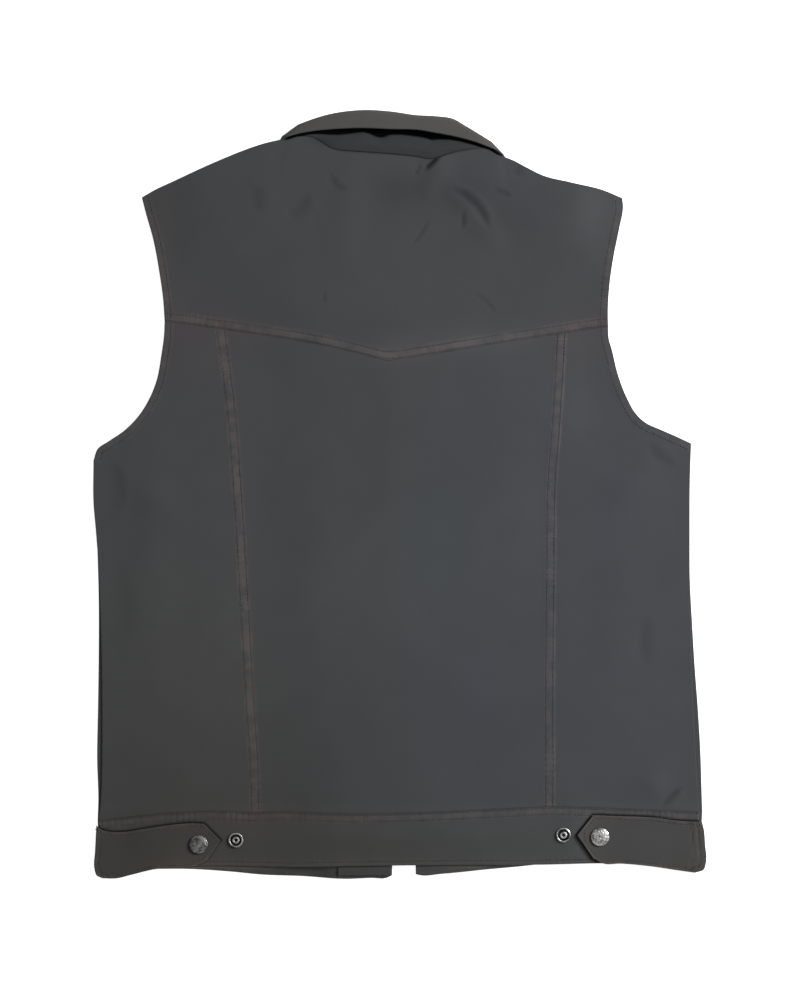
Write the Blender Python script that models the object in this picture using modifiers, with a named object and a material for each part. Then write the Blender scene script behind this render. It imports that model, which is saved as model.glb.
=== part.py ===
# Western vest lying flat, back upwards. +X is the wearer's right, +Y the collar, +Z up, metres.
# Sizes below are millimetres. The underside rests on z = 0.

from collections import namedtuple

import bmesh
import bpy
import numpy as np

MM = 0.001

# Cloth and seams
CLOTH = 1.4
DOUBLED = 2.0
FACING = 1.2
TAB = 1.8
SEAM = 0.3
LAYER_GAP = 0.3

# What props the layers up, from the floor
SNAP_LIFT = 2.2
SNAP_STRIP = 50.0
SNAP_SLOPE = 25.0
FACING_RAMP, FACING_FADE = 92.0, 40.0
NECK_CENTRE = np.array([-6.0, 300.0])
NECK_REACH = np.array([150.0, 112.0])
LEAF_LIFT = 2.6
LEAF_ZONE = (1.15, 0.45)
STAND_SPACE = 1.4
STAND_ZONE = (0.75, 0.35)
LOFT = 0.8
ROOM_FROM_SIDE, ROOM_FROM_SHOULDER = 55.0, 45.0
SIDE_LEFT, SIDE_RIGHT = -281.0, 275.0
BAND_START, BAND_SLOPE = -289.0, 10.0
FINE_STEPS = 40

# Fronts: their edges at the hem, and how far they keep inside the back's outline
EDGE_LEFT, EDGE_RIGHT = -5.6, 13.6
FRONT_MIDDLE = (EDGE_LEFT + EDGE_RIGHT) / 2
FRONT_EDGE_FROM_MIDDLE = (EDGE_RIGHT - EDGE_LEFT) / 2
FRONT_EDGE_SPREAD = 2.0
FRONT_EDGE_BELOW_NECK = 5.0
FRONT_ARMHOLE_INSET = 8.0
FRONT_ARMHOLE_ROUNDING = 0.7
FRONT_TUCK = 0.8
FRONT_CORNER_SET_BACK = np.array([5.4, -2.4])
FACING_INSET = 1.0

# Snaps
CAP_RADIUS, CAP_HEIGHT = 8.7, 2.6
FRONT_CAP_HEIGHT = 1.9
STUD_RADIUS, STUD_HEIGHT = 7.3, 2.4
FRONT_STUD_RADIUS, FRONT_STUD_HEIGHT = 6.5, 1.9
SOCKET_RADIUS, SOCKET_HEIGHT = 5.8, 1.0
SNAP_STEPS = 20
FRONT_SNAP_STEPS = 12
SNAP_INSET = 20.0
SNAP_SEAT = 0.35
FRONT_SNAP_Y = (205.0, 75.0, -55.0, -185.0, -330.0)

Side = namedtuple("Side", "y back front")
Fold = namedtuple("Fold", "x y angle run width height")
Roll = namedtuple("Roll", "base roll leaf turn radius gap")
Tab = namedtuple("Tab", "name outer lower tip upper cap stud")

# Side seams, top to waistband seam: the back panel's edge and the front's, which shows past it
LEFT_SIDE = (
    Side(32, -288.0, -286.5),
    Side(-8, -288.0, -286.5),
    Side(-34, -285.8, -285.2),
    Side(-60, -283.8, -284.2),
    Side(-100, -281.8, -283.2),
    Side(-150, -280.4, -283.2),
    Side(-200, -279.8, -283.9),
    Side(-250, -279.9, -284.7),
    Side(-288, -281.2, -283.6),
    Side(-307, -283.0, -284.2),
)
RIGHT_SIDE = (
    Side(48, 274.6, 273.0),
    Side(20, 273.6, 272.4),
    Side(-40, 273.2, 272.8),
    Side(-86, 273.4, 273.8),
    Side(-120, 274.2, 275.6),
    Side(-160, 275.2, 278.0),
    Side(-200, 276.6, 281.0),
    Side(-240, 278.6, 283.4),
    Side(-270, 280.2, 283.2),
    Side(-299, 282.0, 282.6),
)

# Armholes from the yoke seam down to the side seam, and from the yoke seam up to the shoulder
ARMHOLE_LEFT_LOW = (
    (-221, 163), (-221.6, 150), (-224, 132), (-229, 106), (-235, 91),
    (-244, 76), (-258, 61), (-274, 50), (-284, 43), (-288, 32),
)
ARMHOLE_RIGHT_LOW = (
    (196.4, 158), (196.8, 148), (200, 136), (205.6, 113), (214, 91),
    (222.6, 76), (231, 68), (246, 61), (263, 53.5), (274.6, 48),
)
ARMHOLE_LEFT_HIGH = ((-221, 163), (-222.4, 183), (-226.3, 211), (-232, 241), (-238.5, 264), (-242.5, 279.5))
ARMHOLE_RIGHT_HIGH = (
    (196.4, 158), (196.2, 172), (197.6, 196), (201.9, 226), (206.6, 249), (210.4, 273), (209.6, 279),
)

# Shoulder seams, and stand-in points far above the neck between them
SHOULDER_LEFT = (
    (-242.5, 279.5), (-230, 286.8), (-214, 294.2), (-182, 309), (-164, 316.8), (-146, 324), (-124, 331.2),
    (-112.6, 333.6),
)
ABOVE_NECK = ((-90, 400), (80, 400))
SHOULDER_RIGHT = ((99.6, 317.2), (105, 315.2), (119, 308), (134, 300.6), (162, 293.6), (192, 286.3), (209.6, 279))

# Yoke seam: left armhole, left long seam, point of the yoke, right long seam, right armhole
YOKE_LEFT = ((-221, 163), (-196, 159.8), (-173, 156.6))
YOKE_CENTRE_LEFT = ((-173, 156.6), (-141, 152), (-63.5, 138.8), (-11, 125.6))
YOKE_CENTRE_RIGHT = ((-11, 125.6), (40, 133.6), (94.6, 142.6), (157.6, 152.4))
YOKE_RIGHT = ((157.6, 152.4), (178, 155.6), (196.4, 158))

# Seams from the yoke down to the waistband
LONG_SEAM_LEFT = (
    (-173, 156.6), (-162.3, 72), (-156.7, -3), (-149.1, -129), (-145.4, -194), (-140.7, -269), (-140.2, -299.7),
)
LONG_SEAM_RIGHT = (
    (157.6, 152.4), (152.9, 72), (148.2, 7), (147.3, -71), (146.3, -151), (146.3, -237), (146.3, -293.6),
)

# Waistband seam and hems
WAIST_LEFT = ((-283, -307), (-262, -304.6), (-213, -299.7), (-166, -298.2), (-140.2, -299.7))
WAIST_CENTRE = ((-140.2, -299.7), (-115, -298.8), (-50, -300.6), (36, -298.8), (114, -295), (146.3, -293.6))
WAIST_RIGHT = ((146.3, -293.6), (211, -296), (250, -297.6), (282, -299))
BACK_HEM = (
    (-283.6, -355), (-262, -356), (-231, -352.2), (-193, -349.8), (-96, -350.4), (-50, -349.6), (-7, -349),
    (36, -348.6), (132, -348.4), (207, -347.4), (235, -349), (266, -352.4), (284, -353.4),
)
FRONT_HEM_LEFT = (
    (-283, -353), (-231, -352.6), (-200, -352.6), (-160, -355), (-128, -358),
    (-94, -359.2), (-48, -361.8), (-26, -360.9), (-12, -360.9), (-7, -358.6),
)
FRONT_HEM_RIGHT = (
    (15.4, -357.4), (19, -358.3), (40, -357.1), (79.5, -353.3), (112, -350.4), (138, -347.6), (200, -346.4),
    (283, -350),
)

# Soft ridges of the back, as they lie: middle, direction, half length, half width, height
FOLDS = (
    Fold(66, 268, -52, 42, 11, 1.8),
    Fold(-52, 262, 80, 48, 16, 0.9),
    Fold(34, 300, 60, 22, 10, 1.6),
    Fold(150, 240, -28, 60, 22, 1.1),
    Fold(-170, 250, 30, 60, 24, 1.0),
    Fold(-11, 40, 90, 120, 14, 0.8),
    Fold(206, -90, 84, 110, 20, 1.2),
    Fold(252, -284, -48, 26, 12, 2.0),
    Fold(-236, -60, 92, 120, 22, 0.9),
    Fold(236, 20, 35, 50, 16, 1.2),
    Fold(-250, 10, -40, 44, 16, 1.1),
    Fold(60, -180, 76, 90, 26, 0.7),
    Fold(-80, -120, 98, 100, 28, 0.7),
    Fold(-215, -286, 20, 40, 12, 1.0),
)

# Collar sections from the left front end over the back to the right front end. base is the neck seam,
# roll the fold, leaf the free edge, each x, y, z. turn is where the leaf lies from the stand, in degrees:
# -90 below it on the fronts, 0 beside it at the shoulders, 90 above it on the back. gap parts it from the panels.
COLLAR = (
    Roll((-30, 248, 3.6), (-27, 256, 2.3), (-74, 204, 1.0), -90, 1.3, 0.5),
    Roll((-46, 252, 3.6), (-41, 262, 2.3), (-92, 214, 1.0), -90, 1.3, 0.5),
    Roll((-70, 266, 3.6), (-60, 280, 2.3), (-112, 244, 1.0), -90, 1.3, 0.5),
    Roll((-90, 290, 3.6), (-74, 306, 2.3), (-120, 282, 1.0), -90, 1.3, 0.5),
    Roll((-101, 313, 3.7), (-84, 329, 2.4), (-117, 312, 1.0), -84, 1.4, 0.6),
    Roll((-106, 327, 4.0), (-92, 341, 3.2), (-114.4, 330, 1.4), -60, 1.5, 0.9),
    Roll((-107, 331, 4.8), (-94.6, 345.2, 4.6), (-110.8, 335.6, 4.6), 0, 1.6, 1.6),
    Roll((-103, 331.5, 6.0), (-90, 348.4, 6.4), (-107.4, 335.8, 8.2), 58, 1.9, 1.0),
    Roll((-92, 332.5, 6.6), (-79.5, 353.4, 7.8), (-95, 339.6, 10.4), 78, 2.3, 0.6),
    Roll((-80, 333, 6.8), (-65, 357.8, 8.6), (-79, 342.4, 11.6), 86, 2.7, 0.5),
    Roll((-63, 326, 6.8), (-50, 360.4, 9.0), (-62, 343.8, 12.2), 90, 2.9, 0.5),
    Roll((-38, 323, 6.8), (-31, 361.6, 9.2), (-38, 344.8, 12.8), 90, 3.0, 0.5),
    Roll((-8, 320.8, 6.8), (-8, 360.2, 9.2), (-8, 343.9, 13.0), 90, 3.0, 0.5),
    Roll((16, 318.4, 6.8), (15.5, 356.4, 9.2), (16, 343.2, 12.8), 90, 3.0, 0.5),
    Roll((31, 315.8, 6.8), (34, 355.2, 9.0), (32, 340.4, 12.4), 90, 2.9, 0.5),
    Roll((50, 321, 6.8), (50, 352.4, 8.8), (50, 336.6, 12.0), 88, 2.8, 0.5),
    Roll((68, 324.6, 6.8), (62, 345.6, 8.4), (67, 332.4, 11.2), 82, 2.5, 0.5),
    Roll((82, 322.4, 6.4), (76, 337.0, 7.4), (83, 326.8, 9.6), 70, 2.1, 0.7),
    Roll((91.4, 317.6, 5.6), (82, 332.6, 6.0), (92.6, 322.8, 7.4), 46, 1.8, 1.2),
    Roll((94.4, 314.6, 4.8), (84.2, 330.6, 4.6), (97.6, 319.2, 4.6), 0, 1.6, 1.6),
    Roll((94.0, 309.6, 4.0), (81, 327, 3.2), (101.8, 312.8, 1.4), -60, 1.5, 0.9),
    Roll((90, 296, 3.7), (74, 314, 2.4), (106, 295, 1.0), -84, 1.4, 0.6),
    Roll((81, 276, 3.6), (65, 294, 2.3), (111, 267, 1.0), -90, 1.3, 0.5),
    Roll((66, 258, 3.6), (55, 273, 2.3), (106, 235, 1.0), -90, 1.3, 0.5),
    Roll((48, 246, 3.6), (43, 258, 2.3), (92, 210, 1.0), -90, 1.3, 0.5),
    Roll((34, 243, 3.6), (31, 252, 2.3), (76, 200, 1.0), -90, 1.3, 0.5),
)
COLLAR_ROWS = 50
ROW_SPREAD = 4.0
FLOOR = (-1000.0, -1000.0, 0.0)
STAND_STEPS, TURN_STEPS, LEAF_STEPS = 3, 5, 3

# Adjuster tabs: edges from the side seam, the tip of the point, the middle of the cap and of the open stud
TABS = (
    Tab(
        name="left",
        outer=((-279, -360.9), (-284.6, -358), (-286.4, -350), (-285, -332), (-282.4, -315.4)),
        lower=((-279, -360.9), (-266, -360.9), (-253, -358), (-231, -352.6), (-193.4, -349.8), (-181.2, -344)),
        tip=(-168.4, -325.1),
        upper=(
            (-282.4, -315.4), (-274, -317), (-261, -317.6), (-242, -314.8), (-209, -310.1), (-193.4, -309.2),
            (-184, -309.6),
        ),
        cap=(-188.7, -328.9),
        stud=(-153.9, -325.1),
    ),
    Tab(
        name="right",
        outer=((279, -355.4), (286, -352.6), (288, -344), (286.6, -330), (284.6, -308.4)),
        lower=((279, -355.4), (266.8, -354.3), (234.8, -349.6), (207.5, -347.2), (192, -347.2), (182.1, -342)),
        tip=(167, -320.4),
        upper=((284.6, -308.4), (265.8, -307.2), (234.8, -303.5), (207.5, -302.5), (190, -301.8), (182.1, -301.6)),
        cap=(188.7, -321.8),
        stud=(154.3, -320.4),
    ),
)
TAB_RISE_START, TAB_RISE_END = 18.0, 62.0
TAB_RISE = SOCKET_HEIGHT + LAYER_GAP
TAB_OVERHANG = 7.0

COLOURS = {
    "charcoal_cloth": (0.055, 0.058, 0.062),
    "collar_cloth": (0.082, 0.078, 0.075),
    "tab_cloth": (0.05, 0.048, 0.047),
    "pewter": (0.30, 0.295, 0.29),
}


def ease(t):
    """0 below 0, 1 above 1, and a smooth step between."""
    t = np.clip(t, 0.0, 1.0)
    return t * t * (3.0 - 2.0 * t)


def steps_along(points):
    """Distance from the first point to each, along straight steps."""
    return np.concatenate([[0.0], np.cumsum(np.linalg.norm(np.diff(points, axis=0), axis=1))])


def cubic(points, knots, at):
    """The cubic curve through rows of values at their knots, its slope at each from its two neighbours."""
    slopes = np.gradient(points, knots, axis=0)
    span = np.clip(np.searchsorted(knots, at, side="right") - 1, 0, len(knots) - 2)
    width = (knots[span + 1] - knots[span])[:, None]
    t = (at - knots[span])[:, None] / width
    return (
        (2 * t**3 - 3 * t**2 + 1) * points[span]
        + (t**3 - 2 * t**2 + t) * width * slopes[span]
        + (3 * t**2 - 2 * t**3) * points[span + 1]
        + (t**3 - t**2) * width * slopes[span + 1]
    )


def along(points, fractions):
    """The curve through the points, read at fractions of its length."""
    points = np.asarray(points, float)
    knots = steps_along(points)
    fine = cubic(points, knots, np.linspace(0.0, knots[-1], FINE_STEPS * len(points)))
    lengths = steps_along(fine)
    at = np.asarray(fractions) * lengths[-1]
    return np.stack([np.interp(at, lengths, fine[:, k]) for k in range(fine.shape[1])], axis=1)


def stretch(points, cells):
    return along(points, np.linspace(0.0, 1.0, cells + 1))


def joined(*parts):
    """Curves end to end, each shared end point once."""
    return np.concatenate([parts[0]] + [part[1:] for part in parts[1:]])


def share(curve):
    """Each point's fraction of the curve's length."""
    lengths = steps_along(curve)
    return lengths / lengths[-1]


def between(bottom, top, left, right):
    """Grid of points inside four edges: the straight blends of opposite edges, less that of the corners."""
    u = ((share(bottom) + share(top)) / 2)[None, :, None]
    v = ((share(left) + share(right)) / 2)[:, None, None]
    across = (1 - u) * left[:, None] + u * right[:, None]
    upward = (1 - v) * bottom[None] + v * top[None]
    corners = (1 - v) * ((1 - u) * bottom[0] + u * bottom[-1]) + v * ((1 - u) * top[0] + u * top[-1])
    return across + upward - corners


def inset(curve, distance, ends=(0.0, 0.0)):
    """The curve moved to its left by a distance, and its ends moved along it, to leave the gap of a seam."""
    step = np.gradient(curve, axis=0)
    step /= np.linalg.norm(step, axis=1)[:, None]
    moved = curve + distance * np.stack([-step[:, 1], step[:, 0]], axis=1)
    moved[0] += ends[0] * step[0]
    moved[-1] -= ends[1] * step[-1]
    return moved


def snap_strip(x):
    """1 along the fronts' edges, 0 past the strips that their snaps prop up."""
    from_edge = np.abs(x - FRONT_MIDDLE) - FRONT_EDGE_FROM_MIDDLE
    return 1.0 - ease((from_edge - SNAP_STRIP) / SNAP_SLOPE)


def neck_zone(x, y, start, slope):
    """1 round the neck, out to a start in units of its reach, and 0 past the slope after it."""
    reach = np.hypot((x - NECK_CENTRE[0]) / NECK_REACH[0], (y - NECK_CENTRE[1]) / NECK_REACH[1])
    return 1.0 - ease((reach - start) / slope)


def front_under(x, y):
    """Height of the fronts' outer side, which faces the floor: over the snaps and the collar's leaf."""
    return np.maximum(SNAP_LIFT * snap_strip(x), LEAF_LIFT * neck_zone(x, y, *LEAF_ZONE))


def front_top(x, y):
    """Height of the fronts' inner side, over the doubled band at the waist."""
    band = ease((BAND_START - y) / BAND_SLOPE)
    return front_under(x, y) + CLOTH + (DOUBLED - CLOTH) * band


def shoulder_height(x):
    """Y of the shoulder seams, and far above them over the neck."""
    seams = np.array(SHOULDER_LEFT + ABOVE_NECK + SHOULDER_RIGHT, float)
    return np.interp(x, seams[:, 0], seams[:, 1])


def edge_room(x, y):
    """0 at the side and shoulder seams, where front and back meet, and 1 in the open cloth."""
    side = np.minimum(x - SIDE_LEFT, SIDE_RIGHT - x)
    shoulder = shoulder_height(x) - y
    return ease(side / ROOM_FROM_SIDE) * ease(shoulder / ROOM_FROM_SHOULDER)


def folds(x, y):
    """Sum of the soft ridges: a bell across each, fading along it."""
    height = np.zeros_like(x, dtype=float)
    for fold in FOLDS:
        turn = np.radians(fold.angle)
        run = (x - fold.x) * np.cos(turn) + (y - fold.y) * np.sin(turn)
        off = (y - fold.y) * np.cos(turn) - (x - fold.x) * np.sin(turn)
        height += fold.height * np.exp(-((off / fold.width) ** 2) - (run / fold.run) ** 4)
    return height


def back_under(x, y):
    """Height of the back's inner side: over the fronts, the facing and the collar's stand, with its folds."""
    from_middle = x - FRONT_MIDDLE
    facing = ease((from_middle + FACING_RAMP) / SNAP_SLOPE) * (1.0 - ease(from_middle / FACING_FADE))
    stand = STAND_SPACE * neck_zone(x, y, *STAND_ZONE)
    over_inside = np.maximum((FACING + LAYER_GAP) * facing, stand)
    return front_top(x, y) + over_inside + LAYER_GAP + edge_room(x, y) * (LOFT + folds(x, y))


def wall_object(name, low, high, material):
    """A closed wall between two surfaces given on the same grid."""
    rows, columns = low.shape[0] - 1, low.shape[1] - 1
    mesh = bpy.data.meshes.new(name)
    work = bmesh.new()
    bmesh.ops.create_grid(work, x_segments=columns, y_segments=rows, size=0.5)
    made = bmesh.ops.extrude_face_region(work, geom=work.faces[:], use_keep_orig=True)
    raised = {item for item in made["geom"] if isinstance(item, bmesh.types.BMVert)}
    for vertex in work.verts:
        column = round((vertex.co.x + 0.5) * columns)
        row = round((vertex.co.y + 0.5) * rows)
        vertex.co = (high if vertex in raised else low)[row, column] * MM
    if work.calc_volume(signed=True) < 0:
        bmesh.ops.reverse_faces(work, faces=work.faces[:])
    work.to_mesh(mesh)
    work.free()
    mesh.shade_smooth()
    mesh.set_sharp_from_angle(angle=np.radians(50))
    return place(name, mesh, material)


def place(name, mesh, material):
    made = bpy.data.objects.new(name, mesh)
    made.data.materials.append(materials[material])
    vest.objects.link(made)
    return made


def panel(name, grid, under, wall, material="charcoal_cloth"):
    """A flat-cut piece: its grid of plan points, at the height of what it lies on, with its wall above."""
    low = np.dstack([grid, under(grid[..., 0], grid[..., 1])])
    high = low + np.array([0.0, 0.0, wall])
    return wall_object(name, low, high, material)


def collar_surface(rows, stand_steps, turn_steps, leaf_steps):
    """The collar's middle surface: across each section the stand, a half turn and the leaf, the sections on
    smooth curves through the table. Also each section's turn, and the neck edge that the panels keep to."""
    table = np.array([row.base + row.roll + row.leaf + (row.turn, row.radius, row.gap) for row in COLLAR], float)
    knots = steps_along(table[:, 3:6]) + ROW_SPREAD * np.arange(len(table))
    lines = cubic(table, knots, np.linspace(0.0, knots[-1], rows + 1))
    base, roll, leaf = lines[:, 0:3], lines[:, 3:6], lines[:, 6:9]
    leaf[:, 2] = np.maximum(leaf[:, 2], DOUBLED / 2)
    turn, radius, gap = np.radians(lines[:, 9]), lines[:, 10:11], lines[:, 11:12]
    outward = roll - (base + leaf) / 2
    outward[:, 2] = 0.0
    outward /= np.linalg.norm(outward, axis=1)[:, None]
    beside = np.sign(roll[:, :1]) * np.stack([outward[:, 1], -outward[:, 0], 0 * outward[:, 0]], axis=1)
    normal = np.cos(turn)[:, None] * beside + np.sin(turn)[:, None] * np.array([0.0, 0.0, 1.0])
    centre = roll - outward * radius
    near_stand, near_leaf = centre - normal * radius, centre + normal * radius
    columns = []
    for step in range(stand_steps):
        columns.append(base + (near_stand - base) * step / stand_steps)
    for step in range(turn_steps + 1):
        angle = np.pi * step / turn_steps
        columns.append(centre - normal * radius * np.cos(angle) + outward * radius * np.sin(angle))
    for step in range(1, leaf_steps + 1):
        columns.append(near_leaf + (leaf - near_leaf) * step / leaf_steps)
    neck = base[:, :2] - outward[:, :2] * gap
    return np.stack(columns, axis=1), lines[:, 9], neck


def surface_normals(surface):
    normals = np.cross(np.gradient(surface, axis=1), np.gradient(surface, axis=0))
    return normals / np.linalg.norm(normals, axis=2)[..., None]


def turned(name, profile, place_at, lowest, steps=SNAP_STEPS, upside_down=False):
    """A round piece: its profile of radius and height, top to bottom, screwed round its axis."""
    mesh = bpy.data.meshes.new(name)
    work = bmesh.new()
    corners = [work.verts.new((radius * MM, 0.0, height * MM)) for radius, height in profile]
    for first, second in zip(corners, corners[1:]):
        work.edges.new((first, second))
    work.to_mesh(mesh)
    work.free()
    made = place(name, mesh, "pewter")
    screw = made.modifiers.new("turn", "SCREW")
    screw.steps = screw.render_steps = steps
    screw.use_merge_vertices = True
    screw.merge_threshold = 0.00001
    screw.use_smooth_shade = True
    made.location = (place_at[0] * MM, place_at[1] * MM, lowest * MM)
    if upside_down:
        made.rotation_euler.x = np.pi
        made.location.z += max(height for _, height in profile) * MM
    return made


def cap_profile(radius, height):
    """A shallow dome with a rolled rim."""
    return (
        (0, height), (radius * 0.45, height * 0.96), (radius * 0.78, height * 0.8), (radius * 0.95, height * 0.5),
        (radius, height * 0.22), (radius * 0.94, 0), (0, 0),
    )


def disc_profile(radius, height):
    return ((0, height), (radius, height), (radius, 0), (0, 0))


def stud_profile(radius, height):
    """A flat ring with a raised rim, and a hollow post in its middle."""
    return (
        (0, height * 0.55), (radius * 0.2, height * 0.55), (radius * 0.28, height), (radius * 0.42, height),
        (radius * 0.5, height * 0.35), (radius * 0.72, height * 0.3), (radius * 0.86, height * 0.52),
        (radius, height * 0.3), (radius * 0.97, 0), (0, 0),
    )


for old in list(bpy.data.objects):
    bpy.data.objects.remove(old, do_unlink=True)

vest = bpy.data.collections.new("western_vest")
bpy.context.scene.collection.children.link(vest)
materials = {}
for slot, colour in COLOURS.items():
    made = bpy.data.materials.new(slot)
    made.use_nodes = True
    shader = made.node_tree.nodes["Principled BSDF"]
    metal = slot == "pewter"
    shader.inputs["Base Color"].default_value = (*colour, 1.0)
    shader.inputs["Roughness"].default_value = 0.42 if metal else 0.85
    shader.inputs["Metallic"].default_value = 1.0 if metal else 0.0
    materials[slot] = made

half = SEAM / 2

# Collar, and the neck edges of the panels that it is sewn to
middle_surface, turns, neck_edge = collar_surface(COLLAR_ROWS, STAND_STEPS, TURN_STEPS, LEAF_STEPS)
out = surface_normals(middle_surface) * DOUBLED / 2
collar_sides = [np.maximum(middle_surface + side * out, FLOOR) for side in (-1, 1)]
wall_object("collar", *collar_sides, "collar_cloth")
back_neck = np.concatenate([[SHOULDER_LEFT[-1]], neck_edge[turns > -8], [SHOULDER_RIGHT[0]]])
left_neck = neck_edge[(turns < -40) & (neck_edge[:, 0] < 0)]
right_neck = neck_edge[(turns < -40) & (neck_edge[:, 0] > 0)][::-1]

# Back yoke
YOKE_ROWS, YOKE_SIDE_CELLS = 8, 5
SHOULDER_CELLS = 7
neck_cells = len(back_neck) - 1
point_cells = neck_cells + 2 * SHOULDER_CELLS - 2 * YOKE_SIDE_CELLS
yoke_low = joined(
    stretch(YOKE_LEFT, YOKE_SIDE_CELLS),
    stretch(YOKE_CENTRE_LEFT, point_cells // 2),
    stretch(YOKE_CENTRE_RIGHT, point_cells - point_cells // 2),
    stretch(YOKE_RIGHT, YOKE_SIDE_CELLS),
)
yoke_high = joined(stretch(SHOULDER_LEFT, SHOULDER_CELLS), back_neck, stretch(SHOULDER_RIGHT, SHOULDER_CELLS))
yoke = between(
    inset(yoke_low, half),
    yoke_high,
    inset(stretch(ARMHOLE_LEFT_HIGH, YOKE_ROWS), 0.0, (half, 0.0)),
    inset(stretch(ARMHOLE_RIGHT_HIGH, YOKE_ROWS), 0.0, (half, 0.0)),
)
panel("back_yoke", yoke, back_under, CLOTH)

# Back panels: the middle one, then the two at the sides
PANEL_ROWS, PANEL_COLUMNS = 22, 18
SIDE_COLUMNS = 5
SIDE_ROWS_LOW, SIDE_ROWS_HIGH = 15, 8
HALF_COLUMNS = PANEL_COLUMNS // 2
middle_top = joined(stretch(YOKE_CENTRE_LEFT, HALF_COLUMNS), stretch(YOKE_CENTRE_RIGHT, HALF_COLUMNS))
panel(
    "back_panel_centre",
    between(
        inset(stretch(WAIST_CENTRE, PANEL_COLUMNS), half, (half, half)),
        inset(middle_top, -half, (half, half)),
        inset(stretch(LONG_SEAM_LEFT[::-1], PANEL_ROWS), -half, (half, half)),
        inset(stretch(LONG_SEAM_RIGHT[::-1], PANEL_ROWS), half, (half, half)),
    ),
    back_under,
    CLOTH,
)


def side_edge(table, column, cells):
    """A side edge from the waistband up to the armhole."""
    return stretch([(getattr(row, column), row.y) for row in table][::-1], cells)


left_side, right_side = (side_edge(table, "back", SIDE_ROWS_LOW) for table in (LEFT_SIDE, RIGHT_SIDE))
left_outer = joined(left_side, stretch(ARMHOLE_LEFT_LOW[::-1], SIDE_ROWS_HIGH))
right_outer = joined(right_side, stretch(ARMHOLE_RIGHT_LOW[::-1], SIDE_ROWS_HIGH))
side_rows = SIDE_ROWS_LOW + SIDE_ROWS_HIGH
panel(
    "back_side_panel_left",
    between(
        inset(stretch(WAIST_LEFT, SIDE_COLUMNS), half, (0.0, half)),
        inset(stretch(YOKE_LEFT, SIDE_COLUMNS), -half, (0.0, half)),
        inset(left_outer, 0.0, (half, half)),
        inset(stretch(LONG_SEAM_LEFT[::-1], side_rows), half, (half, half)),
    ),
    back_under,
    CLOTH,
)
panel(
    "back_side_panel_right",
    between(
        inset(stretch(WAIST_RIGHT, SIDE_COLUMNS), half, (half, 0.0)),
        inset(stretch(YOKE_RIGHT, SIDE_COLUMNS), -half, (half, 0.0)),
        inset(stretch(LONG_SEAM_RIGHT[::-1], side_rows), -half, (half, half)),
        inset(right_outer, 0.0, (half, half)),
    ),
    back_under,
    CLOTH,
)

# Back waistband, with the same points along its seam as the panels above it
BAND_ROWS = 3
waist_seam = joined(
    stretch(WAIST_LEFT, SIDE_COLUMNS), stretch(WAIST_CENTRE, PANEL_COLUMNS), stretch(WAIST_RIGHT, SIDE_COLUMNS)
)
hem = along(BACK_HEM, share(waist_seam))
panel(
    "back_waistband",
    between(
        hem,
        inset(waist_seam, -half),
        stretch((hem[0], waist_seam[0]), BAND_ROWS),
        stretch((hem[-1], waist_seam[-1]), BAND_ROWS),
    ),
    back_under,
    DOUBLED,
)


def band_top(x, y):
    return back_under(x, y) + DOUBLED


def tab_under(x, y):
    """Height of a tab's underside: on the waistband at the side seam, raised over the socket at its cap."""
    from_side = np.where(x < 0, x - SIDE_LEFT + TAB_OVERHANG, SIDE_RIGHT + TAB_OVERHANG - x)
    rise = TAB_RISE * ease((from_side - TAB_RISE_START) / (TAB_RISE_END - TAB_RISE_START))
    return band_top(x, y) + LAYER_GAP + rise


# Adjuster tabs with their snaps, and the open studs beside them
TAB_COLUMNS, TAB_HALF_ROWS = 9, 2
for tab in TABS:
    outer = stretch(tab.outer, 2 * TAB_HALF_ROWS)
    lower = stretch(tab.lower, TAB_COLUMNS)
    upper = stretch(tab.upper, TAB_COLUMNS)
    point_low = stretch((tab.lower[-1], tab.tip), TAB_HALF_ROWS)
    point_high = stretch((tab.tip, tab.upper[-1]), TAB_HALF_ROWS)
    point = joined(point_low, point_high)
    if tab.name == "left":
        grid = between(lower, upper, outer, point)
    else:
        grid = between(lower[::-1], upper[::-1], point, outer)
    panel("tab_" + tab.name, grid, tab_under, TAB, "tab_cloth")
    cap_x, cap_y = np.array(tab.cap)
    cap_seat = tab_under(cap_x, cap_y) + TAB + SNAP_SEAT
    turned("tab_cap_" + tab.name, cap_profile(CAP_RADIUS, CAP_HEIGHT), tab.cap, cap_seat)
    socket_seat = band_top(cap_x, cap_y) + LAYER_GAP
    turned("tab_socket_" + tab.name, disc_profile(SOCKET_RADIUS, SOCKET_HEIGHT), tab.cap, socket_seat)
    stud_x, stud_y = np.array(tab.stud)
    stud_seat = band_top(stud_x, stud_y) + SNAP_SEAT
    turned("waist_stud_" + tab.name, stud_profile(STUD_RADIUS, STUD_HEIGHT), tab.stud, stud_seat)

# Fronts: rows from the waistband seam up, columns from the side seam to the front edge
FRONT_LOW_ROWS, FRONT_EDGE_ROWS = 14, 17
COLUMN_SHARES = np.array([0.0, 0.22, 0.42, 0.6, 0.735, 0.81, 0.875, 0.94, 1.0])


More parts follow.
